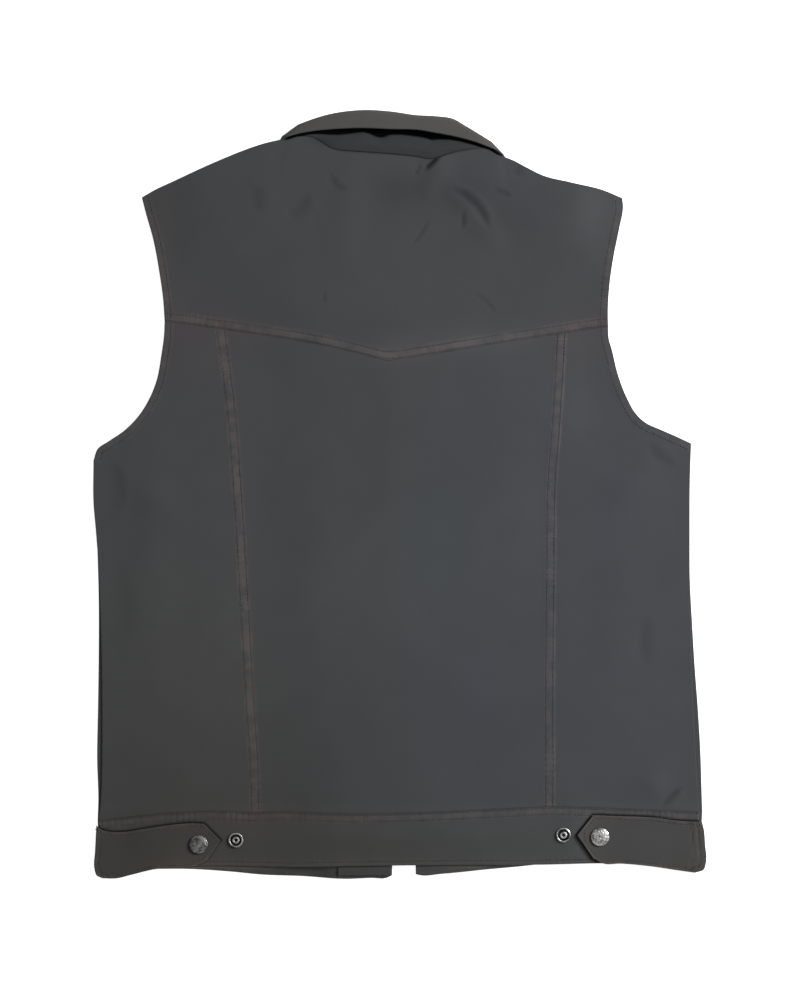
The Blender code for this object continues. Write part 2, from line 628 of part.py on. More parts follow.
def front_grid(table, low, high, shoulder, neck, waist, side):
    """Plan points of one front panel. The armhole is cut deeper than the back's and the neck runs along the
    collar, so neither shows past the back. side is -1 for the left front and 1 for the right."""
    rows = FRONT_EDGE_ROWS + len(neck) + 1
    armhole = stretch(low[::-1] + high[1:], rows - FRONT_LOW_ROWS)
    around = np.linspace(0.0, 1.0, len(armhole))
    deeper = FRONT_ARMHOLE_INSET * np.sin(np.pi * around) ** FRONT_ARMHOLE_ROUNDING
    armhole[:, 0] -= side * (FRONT_TUCK + deeper)
    outer = side_edge(table, "front", FRONT_LOW_ROWS)
    outer = np.concatenate([outer[:-1], armhole])
    corner = np.array(shoulder[-1]) + FRONT_CORNER_SET_BACK * (side, 1)
    edge_low = np.array([side * FRONT_EDGE_FROM_MIDDLE + FRONT_MIDDLE, waist[-1][1]])
    edge_high = np.array([
        side * (FRONT_EDGE_FROM_MIDDLE + FRONT_EDGE_SPREAD) + FRONT_MIDDLE, neck[0][1] - FRONT_EDGE_BELOW_NECK
    ])
    edge = stretch((edge_low, edge_high), FRONT_EDGE_ROWS)
    inner = np.concatenate([edge, neck, [corner]])
    top = [(x, y - FRONT_TUCK) for x, y in shoulder[:-1]] + [tuple(corner)]
    top[0] = tuple(armhole[-1])
    bottom = along(((outer[0][0], outer[0][1]),) + waist[1:-1] + (tuple(edge_low),), COLUMN_SHARES)
    top = along(top, COLUMN_SHARES)
    bottom = bottom + np.array([0.0, half])
    if side < 0:
        return between(bottom, top, outer, inner)
    return between(bottom[::-1], top[::-1], inner, outer)


front_left = front_grid(
    LEFT_SIDE, ARMHOLE_LEFT_LOW, ARMHOLE_LEFT_HIGH, SHOULDER_LEFT, left_neck, WAIST_LEFT + WAIST_CENTRE[1:4], -1
)
front_right = front_grid(
    RIGHT_SIDE, ARMHOLE_RIGHT_LOW, ARMHOLE_RIGHT_HIGH, SHOULDER_RIGHT[::-1], right_neck,
    WAIST_RIGHT[::-1] + WAIST_CENTRE[-2:-4:-1], 1
)
panel("front_panel_left", front_left, front_under, CLOTH)
panel("front_panel_right", front_right, front_under, CLOTH)


def front_band(panel_grid, hem_points):
    """Plan points of a front waistband, under its panel's lower edge."""
    seam = panel_grid[0] - np.array([0.0, SEAM])
    hem_line = along(hem_points, share(seam))
    ends = [stretch((hem_line[k], seam[k]), BAND_ROWS) for k in (0, -1)]
    return between(hem_line, seam, *ends)


band_left = front_band(front_left, FRONT_HEM_LEFT)
band_right = front_band(front_right, FRONT_HEM_RIGHT)
panel("front_waistband_left", band_left, front_under, DOUBLED)
panel("front_waistband_right", band_right, front_under, DOUBLED)


def facing_under(x, y):
    return front_top(x, y) + LAYER_GAP


# Facing inside the left front edge: the points of the panel and the waistband nearest the edge, moved up
FACING_COLUMNS = 3
facing_rows = BAND_ROWS + FRONT_EDGE_ROWS + 1
facing_grid = np.concatenate([band_left[:-1], front_left])[:facing_rows, -FACING_COLUMNS - 1:] - (FACING_INSET, 0.0)
facing_grid[0, :, 1] += FACING_INSET
panel("front_facing_left", facing_grid, facing_under, FACING)

# Front closure: caps on the left front, studs on the right front, between the cloth and the floor
front_cap = cap_profile(CAP_RADIUS, FRONT_CAP_HEIGHT)
front_stud = stud_profile(FRONT_STUD_RADIUS, FRONT_STUD_HEIGHT)
for number, snap_y in enumerate(FRONT_SNAP_Y, start=1):
    cap_at, stud_at = (EDGE_LEFT - SNAP_INSET, snap_y), (EDGE_RIGHT + SNAP_INSET, snap_y)
    turned(f"front_cap_{number}", front_cap, cap_at, 0.0, FRONT_SNAP_STEPS, upside_down=True)
    turned(f"front_stud_{number}", front_stud, stud_at, 0.0, FRONT_SNAP_STEPS, upside_down=True)
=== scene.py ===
from collections import namedtuple

import bmesh
import bpy
import numpy as np
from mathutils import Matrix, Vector


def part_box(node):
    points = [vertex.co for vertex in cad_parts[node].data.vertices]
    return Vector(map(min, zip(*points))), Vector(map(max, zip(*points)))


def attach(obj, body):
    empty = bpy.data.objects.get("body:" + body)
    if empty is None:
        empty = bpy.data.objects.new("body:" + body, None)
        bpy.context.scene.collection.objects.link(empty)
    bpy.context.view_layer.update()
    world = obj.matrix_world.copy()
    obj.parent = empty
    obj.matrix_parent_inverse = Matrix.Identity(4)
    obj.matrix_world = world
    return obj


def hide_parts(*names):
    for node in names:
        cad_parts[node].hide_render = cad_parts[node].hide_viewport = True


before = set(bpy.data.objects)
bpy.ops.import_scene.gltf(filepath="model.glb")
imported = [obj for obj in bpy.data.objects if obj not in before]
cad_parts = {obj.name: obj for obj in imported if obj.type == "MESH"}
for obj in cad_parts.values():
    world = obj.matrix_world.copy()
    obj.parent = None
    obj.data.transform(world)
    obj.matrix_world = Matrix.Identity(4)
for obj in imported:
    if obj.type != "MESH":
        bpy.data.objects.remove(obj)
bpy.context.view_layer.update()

# Front panels
# The two fronts lie face down under everything else, each one thickness of smooth charcoal cloth. Their edges
# are turned under, and rest on the snaps near the front edges and on the collar's leaf round the neck.
# Plan sizes are millimetres: +X is the wearer's right, +Y the collar, +Z up.
MM = 0.001
CLOTH, DOUBLED = 1.4, 2.0
EDGE_TO_WALL, BORDER_HEIGHT = 0.36, 0.8
NEAR_EDGE = np.array([0.0, 0.22, 0.6, 1.2, 2.0, 2.9, 3.9, 5.0, 6.2, 7.4, 8.6, 9.9, 11.4])
FINE_STEPS, SEAM_CELLS = 40, 70

SNAP_LIFT, SNAP_STRIP, SNAP_SLOPE = 2.2, 50.0, 25.0
LEAF_LIFT, LEAF_ZONE = 2.6, (1.15, 0.45)
NECK_CENTRE, NECK_REACH = (-6.0, 300.0), (150.0, 112.0)
EDGE_LEFT, EDGE_RIGHT = -5.6, 13.6
FRONT_MIDDLE = (EDGE_LEFT + EDGE_RIGHT) / 2
FRONT_EDGE_FROM_MIDDLE = (EDGE_RIGHT - EDGE_LEFT) / 2
FRONT_EDGE_SPREAD = 2.0
FRONT_EDGE_BELOW_NECK = 5.0
FRONT_ARMHOLE_INSET = 8.0
FRONT_ARMHOLE_ROUNDING = 0.7
FRONT_TUCK = 0.8
FRONT_CORNER_SET_BACK = np.array([5.4, -2.4])

Side = namedtuple("Side", "y back front")
Roll = namedtuple("Roll", "base roll leaf turn radius gap")
Patch = namedtuple("Patch", "x y reach_x reach_y red green blue")
# A seam's line, the width of the band beside it, how far the band is lifted, the distances of its rows of
# stitches, its rub-off, how much painted shade darkens its line, or painted light lightens it if below 0, and
# how hard the stitches pull
Seam = namedtuple("Seam", "line band lift rows wear groove pull", defaults=(0.0, 0.0, (), 0.0, 0.0, 1.0))

# Side seams, top to waistband seam: the back panel's edge and the front's, which shows past it
LEFT_SIDE = (
    Side(32, -288.0, -286.5),
    Side(-8, -288.0, -286.5),
    Side(-34, -285.8, -285.2),
    Side(-60, -283.8, -284.2),
    Side(-100, -281.8, -283.2),
    Side(-150, -280.4, -283.2),
    Side(-200, -279.8, -283.9),
    Side(-250, -279.9, -284.7),
    Side(-288, -281.2, -283.6),
    Side(-307, -283.0, -284.2),
)
RIGHT_SIDE = (
    Side(48, 274.6, 273.0),
    Side(20, 273.6, 272.4),
    Side(-40, 273.2, 272.8),
    Side(-86, 273.4, 273.8),
    Side(-120, 274.2, 275.6),
    Side(-160, 275.2, 278.0),
    Side(-200, 276.6, 281.0),
    Side(-240, 278.6, 283.4),
    Side(-270, 280.2, 284.4),
    Side(-299, 282.4, 285.2),
)

# Armholes from the yoke seam down to the side seam, and from the yoke seam up to the shoulder
ARMHOLE_LEFT_LOW = (
    (-221, 163), (-221.6, 150), (-224, 132), (-229, 106), (-235, 91),
    (-244, 76), (-258, 61), (-274, 50), (-284, 43), (-288, 32),
)
ARMHOLE_RIGHT_LOW = (
    (196.4, 158), (196.8, 148), (200, 136), (205.6, 113), (214, 91),
    (222.6, 76), (231, 68), (246, 61), (263, 53.5), (274.6, 48),
)
ARMHOLE_LEFT_HIGH = ((-221, 163), (-222.4, 183), (-226.3, 211), (-232, 241), (-238.5, 264), (-242.5, 279.5))
ARMHOLE_RIGHT_HIGH = (
    (196.4, 158), (196.2, 172), (197.6, 196), (201.9, 226), (206.6, 249), (210.4, 273), (209.6, 279),
)

# Shoulder seams
SHOULDER_LEFT = (
    (-242.5, 279.5), (-230, 286.8), (-214, 294.2), (-182, 309), (-164, 316.8), (-146, 324), (-124, 331.2),
    (-112.6, 333.6),
)
SHOULDER_RIGHT = (
    (99.6, 317.2), (105, 315.2), (119, 308), (134, 300.6), (162, 293.6), (192, 286.3), (209.6, 279),
)

# Waistband seam
WAIST_LEFT = ((-283, -307), (-262, -304.6), (-213, -299.7), (-166, -298.2), (-140.2, -299.7))
WAIST_CENTRE = ((-140.2, -299.7), (-115, -298.8), (-50, -300.6), (36, -298.8), (114, -295), (146.3, -293.6))
WAIST_RIGHT = ((146.3, -293.6), (211, -296), (250, -297.6), (282, -299))

# Collar sections from the left front end over the back to the right front end: base is the neck seam, roll
# the fold and leaf the free edge, each x, y, z. turn is where the leaf lies from the stand, in degrees: -90
# below it on the fronts, 0 beside it at the shoulders, 90 above it on the back. gap parts it from the panels.
COLLAR = (
    Roll((-30, 248, 3.6), (-27, 256, 2.3), (-74, 204, 1.0), -90, 1.3, 0.5),
    Roll((-46, 252, 3.6), (-41, 262, 2.3), (-92, 214, 1.0), -90, 1.3, 0.5),
    Roll((-70, 266, 3.6), (-60, 280, 2.3), (-112, 244, 1.0), -90, 1.3, 0.5),
    Roll((-90, 290, 3.6), (-74, 306, 2.3), (-120, 282, 1.0), -90, 1.3, 0.5),
    Roll((-101, 313, 3.7), (-84, 329, 2.4), (-117, 312, 1.0), -84, 1.4, 0.6),
    Roll((-106, 327, 4.0), (-92, 341, 3.2), (-114.4, 330, 1.4), -60, 1.5, 0.9),
    Roll((-107, 332, 4.8), (-94.6, 345.2, 4.6), (-110.8, 335.6, 4.6), 0, 1.6, 1.6),
    Roll((-103.4, 334.2, 6.0), (-90, 348.4, 6.4), (-107.4, 335.8, 8.2), 58, 1.9, 1.0),
    Roll((-93.5, 336.6, 6.6), (-79.5, 352.6, 7.8), (-95, 339.0, 10.4), 78, 2.3, 0.6),
    Roll((-80.5, 335.0, 6.8), (-65, 356.8, 8.6), (-79, 341.6, 11.6), 86, 2.7, 0.5),
    Roll((-63, 324.8, 6.8), (-50, 359.4, 9.0), (-62, 343.1, 12.2), 90, 2.9, 0.5),
    Roll((-38, 321.8, 6.8), (-31, 360.6, 9.2), (-38, 344.1, 12.8), 90, 3.0, 0.5),
    Roll((-8, 319.6, 6.8), (-8, 359.2, 9.2), (-8, 343.1, 13.0), 90, 3.0, 0.5),
    Roll((16, 317.2, 6.8), (15.5, 355.8, 9.2), (16, 342.5, 12.8), 90, 3.0, 0.5),
    Roll((31, 315.2, 6.8), (34, 354.8, 9.0), (32, 339.9, 12.4), 90, 2.9, 0.5),
    Roll((50, 321, 6.8), (50, 352.4, 8.8), (50, 336.6, 12.0), 88, 2.8, 0.5),
    Roll((68, 324.6, 6.8), (62, 345.6, 8.4), (67, 332.4, 11.2), 82, 2.5, 0.5),
    Roll((82, 324.6, 6.4), (76, 337.0, 7.4), (83, 326.8, 9.6), 70, 2.1, 0.7),
    Roll((91.6, 319.8, 5.6), (82, 332.6, 6.0), (92.6, 322.8, 7.4), 46, 1.8, 1.2),
    Roll((94.6, 315.6, 4.8), (84.2, 330.6, 4.6), (97.6, 319.2, 4.6), 0, 1.6, 1.6),
    Roll((94.0, 309.6, 4.0), (81, 327, 3.2), (101.8, 312.8, 1.4), -60, 1.5, 0.9),
    Roll((90, 296, 3.7), (74, 314, 2.4), (106, 295, 1.0), -84, 1.4, 0.6),
    Roll((81, 276, 3.6), (65, 294, 2.3), (111, 267, 1.0), -90, 1.3, 0.5),
    Roll((66, 258, 3.6), (55, 273, 2.3), (106, 235, 1.0), -90, 1.3, 0.5),
    Roll((48, 246, 3.6), (43, 258, 2.3), (92, 210, 1.0), -90, 1.3, 0.5),
    Roll((34, 243, 3.6), (31, 252, 2.3), (76, 200, 1.0), -90, 1.3, 0.5),
)
COLLAR_ROWS = 220
ROW_SPREAD = 4.0

# Uneven fading of the cloth, mixed with painted light and shade where light falls unevenly: how much lighter
# or darker each patch is in red, green and blue
PATCHES = (
    Patch(200, -10, 90, 170, -0.03, 0.01, 0.11),
    Patch(75, -190, 50, 110, -0.05, -0.02, 0.09),
    Patch(215, -200, 60, 90, 0.00, 0.03, 0.09),
    Patch(-165, -90, 70, 110, 0.07, 0.07, 0.08),
    Patch(62, 45, 36, 60, -0.03, 0.01, 0.08),
    Patch(32, -47, 38, 62, -0.09, 0.02, 0.02),
    Patch(-200, -200, 110, 180, 0.02, -0.01, -0.07),
    Patch(-190, -320, 170, 110, -0.16, -0.17, -0.18),
    Patch(-196, 265, 50, 50, -0.08, -0.08, -0.07),
    Patch(180, 270, 16, 28, 0.24, 0.24, 0.24),
    Patch(-224, 236, 13, 60, 0.15, 0.06, 0.03),
    Patch(0, 286, 26, 18, -0.18, -0.18, -0.16),
    Patch(66, 288, 24, 20, -0.20, -0.20, -0.16),
    Patch(124, 272, 30, 32, -0.15, -0.15, -0.13),
    Patch(-20, -80, 100, 90, 0.09, 0.08, 0.09),
    Patch(125, -10, 22, 70, 0.10, 0.09, 0.09),
    Patch(168, 90, 22, 50, 0.18, 0.16, 0.14),
    Patch(76, 144, 70, 13, 0.17, 0.15, 0.15),
    Patch(180, -322, 16, 20, 0.36, 0.36, 0.36),
    Patch(-197, -333, 24, 22, 0.19, 0.15, 0.15),
    Patch(0, -330, 120, 14, -0.09, -0.08, -0.08),
    Patch(-205, -348, 44, 7, 0.18, 0.08, 0.04),
    Patch(-60, -357, 150, 5, -0.14, -0.14, -0.14),
    Patch(88, 300, 30, 18, 0.05, 0.05, 0.09),
    Patch(-200, 150, 50, 40, 0.07, -0.02, -0.02),
    Patch(180, 150, 50, 40, 0.06, 0.00, -0.02),
    Patch(0, -335, 420, 34, 0.02, 0.00, -0.08),
    Patch(232, -330, 60, 24, 0.05, 0.06, 0.14),
    Patch(-73, 332, 12, 5, -0.22, -0.22, -0.22),
    Patch(-150, 152, 44, 12, 0.08, 0.00, 0.00),
    Patch(-4, 133, 34, 13, 0.20, 0.14, 0.14),
    Patch(-140, -304, 34, 14, 0.10, 0.00, -0.01),
    Patch(178, 156, 30, 12, 0.08, 0.01, 0.01),
)


def ease(t):
    """0 below 0, 1 above 1, and a smooth step between."""
    t = np.clip(t, 0.0, 1.0)
    return t * t * (3.0 - 2.0 * t)


def steps_along(points):
    """Distance from the first point to each, along straight steps."""
    return np.concatenate([[0.0], np.cumsum(np.linalg.norm(np.diff(points, axis=0), axis=1))])


def cubic(points, knots, at):
    """The cubic curve through rows of values at their knots, its slope at each from its two neighbours."""
    slopes = np.gradient(points, knots, axis=0)
    span = np.clip(np.searchsorted(knots, at, side="right") - 1, 0, len(knots) - 2)
    width = (knots[span + 1] - knots[span])[:, None]
    t = (at - knots[span])[:, None] / width
    return (
        (2 * t**3 - 3 * t**2 + 1) * points[span]
        + (t**3 - 2 * t**2 + t) * width * slopes[span]
        + (3 * t**2 - 2 * t**3) * points[span + 1]
        + (t**3 - t**2) * width * slopes[span + 1]
    )


def fine(points):
    """The curve through the points, in many short steps."""
    points = np.asarray(points, float)
    knots = steps_along(points)
    return cubic(points, knots, np.linspace(0.0, knots[-1], FINE_STEPS * len(points)))


def along(points, fractions):
    """The curve through the points, read at fractions of its length."""
    curve = fine(points)
    lengths = steps_along(curve)
    at = np.asarray(fractions) * lengths[-1]
    return np.stack([np.interp(at, lengths, curve[:, k]) for k in range(curve.shape[1])], axis=1)


def stretch(points, cells=SEAM_CELLS):
    """The curve in a number of even steps."""
    return along(points, np.linspace(0.0, 1.0, cells + 1))


def graded(points, cells, from_start=True, from_end=True):
    """The curve in a number of steps, the first or last of them short, as near a sewn or turned edge."""
    length = steps_along(fine(points))[-1]
    low = NEAR_EDGE if from_start else NEAR_EDGE[:1]
    high = NEAR_EDGE if from_end else NEAR_EDGE[:1]
    middle = np.linspace(low[-1], length - high[-1], cells + 3 - len(low) - len(high))
    return along(points, np.concatenate([low[:-1], middle, (length - high[:-1])[::-1]]) / length)


def joined(*parts):
    """Curves end to end, each shared end point once."""
    return np.concatenate([parts[0]] + [part[1:] for part in parts[1:]])


def share(curve):
    """Each point's fraction of the curve's length."""
    lengths = steps_along(curve)
    return lengths / lengths[-1]


def between(bottom, top, left, right):
    """Grid of points inside four edges: the straight blends of opposite edges, less that of the corners."""
    u = ((share(bottom) + share(top)) / 2)[None, :, None]
    v = ((share(left) + share(right)) / 2)[:, None, None]
    across = (1 - u) * left[:, None] + u * right[:, None]
    upward = (1 - v) * bottom[None] + v * top[None]
    corners = (1 - v) * ((1 - u) * bottom[0] + u * bottom[-1]) + v * ((1 - u) * top[0] + u * top[-1])
    return across + upward - corners


def either_side(bottom, top, outer, inner, side):
    """The grid of a left piece, side -1, or of a right one, side 1, from edges drawn inwards."""
    return between(bottom, top, outer, inner) if side < 0 else between(bottom[::-1], top[::-1], inner, outer)


def inset(curve, distance):
    """The curve moved to its left by a distance."""
    step = np.gradient(curve, axis=0)
    step /= np.linalg.norm(step, axis=1)[:, None]
    return curve + distance * np.stack([-step[:, 1], step[:, 0]], axis=1)


def nearest(x, y, line):
    """How far a line of straight steps is, how far along it the nearest place, and its side, 1 for left."""
    start, step = line[:-1], np.diff(line, axis=0)
    length = np.linalg.norm(step, axis=1)
    apart_x, apart_y = x[..., None] - start[:, 0], y[..., None] - start[:, 1]
    t = np.clip((apart_x * step[:, 0] + apart_y * step[:, 1]) / length**2, 0.0, 1.0)
    away = np.hypot(apart_x - t * step[:, 0], apart_y - t * step[:, 1])
    best = away.argmin(axis=-1)[..., None]
    side = np.sign(step[:, 0] * apart_y - step[:, 1] * apart_x)
    place = steps_along(line)[:-1] + t * length
    return tuple(np.take_along_axis(values, best, axis=-1)[..., 0] for values in (away, place, side))


PUCKER, PUCKER_LENGTH, PUCKER_SPREAD = 0.2, 5.9, 4.5
PUCKER_DRIFT, PUCKER_WANDER = 37.0, 2.0
LIFT_SLOPE = 1.4
THREAD_DIP, THREAD_DIP_WIDTH = 0.34, 0.75
WEAR_SPREAD = 2.0
GROOVE_WIDTH = 0.8
ROW_DARK, ROW_DARK_WIDTH = 0.26, 0.75
ROW_UNEVEN, ROW_DRIFT, ROW_WANDER = 0.8, 17.0, 3.0
EDGE_ROW, EDGE_ROW_PULL = 2.0, 0.35


def sewing(x, y, seams):
    """Relief, rub-off and painted shade along seams. A lapped edge is raised out to its band and eases down
    past it, each row of stitches pulls a narrow groove with painted shade in it, weak in a row close to the
    edge, the seam's line has painted shade, and painted light where its groove value is below 0, and sines
    along the seam pucker it unevenly."""
    relief, rubbed, shade = np.zeros_like(x), np.zeros_like(x), np.ones_like(x)
    for seam in seams:
        away, place, _ = nearest(x, y, seam.line)
        in_band = 1.0 - ease((away - seam.band) / WEAR_SPREAD)
        drift = np.sin(place / PUCKER_DRIFT)
        even = 1.0 - ROW_UNEVEN * (0.5 + 0.5 * np.sin(place / ROW_DRIFT + ROW_WANDER * drift))
        ripple = even * np.sin(2 * np.pi * place / PUCKER_LENGTH + PUCKER_WANDER * drift)
        relief += seam.lift * (1.0 - ease((away - seam.band) / LIFT_SLOPE))
        relief += PUCKER * ripple * (1.0 - ease((away - seam.band) / PUCKER_SPREAD)) * (len(seam.rows) > 0)
        shade *= 1.0 - seam.groove * np.exp(-((away / GROOVE_WIDTH) ** 2))
        for row in seam.rows:
            pull = seam.pull * (EDGE_ROW_PULL if row < EDGE_ROW else 1.0)
            relief -= pull * THREAD_DIP * np.exp(-(((away - row) / THREAD_DIP_WIDTH) ** 2))
            shade *= 1.0 - pull * even * ROW_DARK * np.exp(-(((away - row) / ROW_DARK_WIDTH) ** 2))
        rubbed = np.maximum(rubbed, seam.wear * in_band)
    return relief, rubbed, shade


def turned_edge(grid, wall):
    """1 in the cloth and 0 at its border, along a quarter oval, by the distance along the grid's lines."""
    across = np.linalg.norm(np.diff(grid, axis=1), axis=2)
    upward = np.linalg.norm(np.diff(grid, axis=0), axis=2)
    from_left = np.pad(np.cumsum(across, axis=1), ((0, 0), (1, 0)))
    from_bottom = np.pad(np.cumsum(upward, axis=0), ((1, 0), (0, 0)))
    distances = (from_left, from_left[:, -1:] - from_left, from_bottom, from_bottom[-1:] - from_bottom)
    inward = np.clip(np.minimum.reduce(distances) / (EDGE_TO_WALL * wall), 0.0, 1.0)
    return np.sqrt(1.0 - (1.0 - inward) ** 2)


def fading_and_painted_shading(x, y):
    """Colour factor of the uneven fade of the dye and of the painted light and shade: 1, with a bell of its
    own colour round each patch.
    """
    factor = np.ones(x.shape + (4,))
    for patch in PATCHES:
        bell = np.exp(-(((x - patch.x) / patch.reach_x) ** 2) - ((y - patch.y) / patch.reach_y) ** 2)
        factor[..., :3] += bell[..., None] * (patch.red, patch.green, patch.blue)
    return factor


def finished(name, points, faces, material):
    """A piece from points in millimetres, its faces turned outwards by the sign of its volume."""
    mesh = bpy.data.meshes.new(name)
    mesh.from_pydata((points * MM).tolist(), [], faces)
    work = bmesh.new()
    work.from_mesh(mesh)
    if work.calc_volume(signed=True) < 0:
        mesh.flip_normals()
    work.free()
    mesh.shade_smooth()
    mesh.materials.append(material)
    made = bpy.data.objects.new(name, mesh)
    bpy.context.scene.collection.objects.link(made)
    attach(made, "root")
    return made


def shell(name, high, low, flat, wear, shades, material, slot):
    """A closed thin shell from two surfaces on one grid, which share their border points. flat is the uncut
    cloth's grid in millimetres, for the weave, wear the rub-off, and shades the painted light and shade of
    each surface."""
    rows, columns = high.shape[:2]
    upper = np.arange(rows * columns).reshape(rows, columns)
    lower = upper.copy()
    lower[1:-1, 1:-1] = rows * columns + np.arange((rows - 2) * (columns - 2)).reshape(rows - 2, columns - 2)
    quads = [
        np.stack([side[:-1, :-1], side[:-1, 1:], side[1:, 1:], side[1:, :-1]], axis=-1).reshape(-1, 4)
        for side in (upper, lower)
    ]
    inner = (slice(1, -1), slice(1, -1))

    def both(values):
        """All points of the upper surface, then the inner ones of the lower."""
        sides = (values[0], values[1][inner])
        return np.concatenate([side.reshape(side.shape[0] * side.shape[1], -1) for side in sides])

    points = both((high, low))
    made = finished(name, points, np.concatenate([quads[0], quads[1][:, ::-1]]).tolist(), material)
    corners = np.empty(len(made.data.loops), int)
    made.data.loops.foreach_get("vertex_index", corners)
    places = both((flat, flat)) * MM
    made.data.uv_layers.new(name="cloth").data.foreach_set("uv", places[corners].ravel())
    made.data.attributes.new("wear", "FLOAT", "POINT").data.foreach_set("value", both((wear, wear)).ravel())
    colours = fading_and_painted_shading(points[:, 0], points[:, 1]) * both(shades)
    made.data.attributes.new("fading_and_painted_shading", "FLOAT_COLOR", "POINT").data.foreach_set("color", colours.ravel())
    return made


STITCH_LENGTH, STITCH_PITCH = 2.4, 3.1
THREAD_WIDTH, THREAD_HEIGHT, THREAD_SUNK, THREAD_PROUD = 0.74, 0.36, 0.3, 0.26
STITCH_PLACES = np.array([-0.5, -0.26, 0.26, 0.5])
STITCH_SWELL = np.array([0.45, 1.0, 1.0, 0.45])
THREAD_SIDES = 6
THREAD_TURNED, THREAD_ASIDE, THREAD_LENGTHENED = 0.016, 0.07, 0.06
ROW_END, LOOK_AHEAD, CORNER_CUT = 1.5, 0.4, 0.985


def sew(name, rows, outside=1.0):
    """Lock stitches along rows of points, in one mesh: four stations along each, six points of an ellipse at
    each station, the end ones small and sunk in the cloth, with some unevenness from stitch to stitch."""
    chance = np.random.default_rng(len(rows))
    middles, ahead = [], []
    for row in rows:
        lengths = steps_along(row)
        at = np.arange(ROW_END, lengths[-1] - ROW_END, STITCH_PITCH)
        for shift, places in ((0.0, middles), (LOOK_AHEAD, ahead)):
            places.append(np.stack([np.interp(at + shift, lengths, row[:, k]) for k in range(3)], axis=1))
    middles, ahead = np.concatenate(middles), np.concatenate(ahead)
    run = ahead - middles + chance.normal(0.0, THREAD_TURNED, middles.shape) * (1, 1, 0)
    run /= np.linalg.norm(run, axis=1)[:, None]
    beside = np.stack([-run[:, 1], run[:, 0], np.zeros(len(run))], axis=1)
    beside /= np.linalg.norm(beside, axis=1)[:, None]
    middles = middles + beside * chance.normal(0.0, THREAD_ASIDE, (len(run), 1))
    lengths = STITCH_LENGTH * chance.normal(1.0, THREAD_LENGTHENED, (len(run), 1, 1, 1))
    turn = np.arange(THREAD_SIDES) * 2 * np.pi / THREAD_SIDES
    swell = STITCH_SWELL[:, None]
    sideways = (THREAD_WIDTH / 2 * swell * np.cos(turn))[None, ..., None]
    sunk = THREAD_SUNK * (swell - 1.0)
    upward = (outside * (THREAD_HEIGHT / 2 * swell * np.sin(turn) + sunk))[None, ..., None]
    points = (
        middles[:, None, None]
        + run[:, None, None] * STITCH_PLACES[:, None, None] * lengths
        + beside[:, None, None] * sideways
        + np.array([0.0, 0.0, 1.0]) * upward
    )
    ring = np.arange(THREAD_SIDES)
    following = (ring + 1) % THREAD_SIDES
    near = THREAD_SIDES * np.arange(len(STITCH_PLACES) - 1)[:, None]
    far = near + THREAD_SIDES
    walls = np.stack([near + ring, far + ring, far + following, near + following], axis=-1).reshape(-1, 4)
    ends = np.stack([ring, ring[::-1] + THREAD_SIDES * (len(STITCH_PLACES) - 1)])
    first = THREAD_SIDES * len(STITCH_PLACES) * np.arange(len(run))[:, None, None]
    faces = (first + walls).reshape(-1, 4).tolist() + (first + ends).reshape(-1, THREAD_SIDES).tolist()
    return finished(name, points.reshape(-1, 3), faces, thread)


def stitch_rows(seams, top):
    """The rows of every seam: its line moved in by each row's distance, less what a corner folds over."""
    rows = []
    for seam in seams:
        for distance in seam.rows:
            moved = inset(seam.line, distance)
            away, _, _ = nearest(moved[:, 0], moved[:, 1], seam.line)
            moved = moved[away > CORNER_CUT * distance]
            rows.append(np.column_stack([moved, top(moved[:, 0], moved[:, 1])]))
    return rows


def sewn_piece(
    name, grid, under, wall, seams, node, outside=1.0, shade_at=None, slot="charcoal_cloth",
):
    """One piece of cloth with its stitches: its plan grid at the height that it lies at, its wall, its sewing
    on the outer side, which is 1 for up and -1 for down, and the painted light and shade of its upper side.
    Its border lies near the outer side, as where a turned edge is pressed flat."""
    x, y = grid[..., 0], grid[..., 1]
    relief, rubbed, shade = sewing(x, y, seams)
    low = under(x, y) - (relief if outside < 0 else 0.0)
    high = under(x, y) + wall + (relief if outside > 0 else 0.0)
    border = low + (high - low) * (BORDER_HEIGHT if outside > 0 else 1.0 - BORDER_HEIGHT)
    surfaces = [np.dstack([grid, border + (face - border) * turned_edge(grid, wall)]) for face in (high, low)]
    shades = (shade * shade_at(x, y), shade) if shade_at else (shade, shade)
    made = shell(name, *surfaces, grid, rubbed, shades, cloths[slot], slot)
    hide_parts(node)

    def outer_side(x, y):
        """Height of the threads: the outer side as the sewing pulls it, and a little outside that."""
        pulled, _, _ = sewing(x, y, seams)
        return under(x, y) + (wall if outside > 0 else 0.0) + outside * (pulled + THREAD_PROUD)

    rows = stitch_rows(seams, outer_side)
    threads = [sew(name + "_stitches", rows, outside)] if rows else []
    return made


def add_node(tree, kind, inputs=None, **settings):
    """One shader node: its settings, then its inputs, each a value or another node's output."""
    made = tree.nodes.new("ShaderNode" + kind)
    for key, value in settings.items():
        setattr(made, key, value)
    for key, value in (inputs or {}).items():
        if isinstance(value, bpy.types.NodeSocket):
            tree.links.new(value, made.inputs[key])
        else:
            made.inputs[key].default_value = value
    return made


def new_material(name):
    """A material, its node tree and its surface shader."""
    made = bpy.data.materials.new(name)
    made.use_nodes = True
    return made, made.node_tree, made.node_tree.nodes["Principled BSDF"]


def noise(tree, scale, detail, roughness=0.5):
    """Noise of several sizes on the object's own coordinates, in metres."""
    place = add_node(tree, "TexCoord").outputs["Object"]
    inputs = {"Vector": place, "Scale": scale, "Detail": detail, "Roughness": roughness}
    return add_node(tree, "TexNoise", inputs).outputs[0]


def product(tree, one, other):
    """Two values multiplied."""
    return add_node(tree, "Math", {0: one, 1: other}, operation="MULTIPLY").outputs[0]


def mapped(tree, value, low, high, to_low, to_high):
    """The value with its range from low to high stretched to another, and held within it."""
    inputs = {"Value": value, "From Min": low, "From Max": high, "To Min": to_low, "To Max": to_high}
    return add_node(tree, "MapRange", inputs).outputs[0]


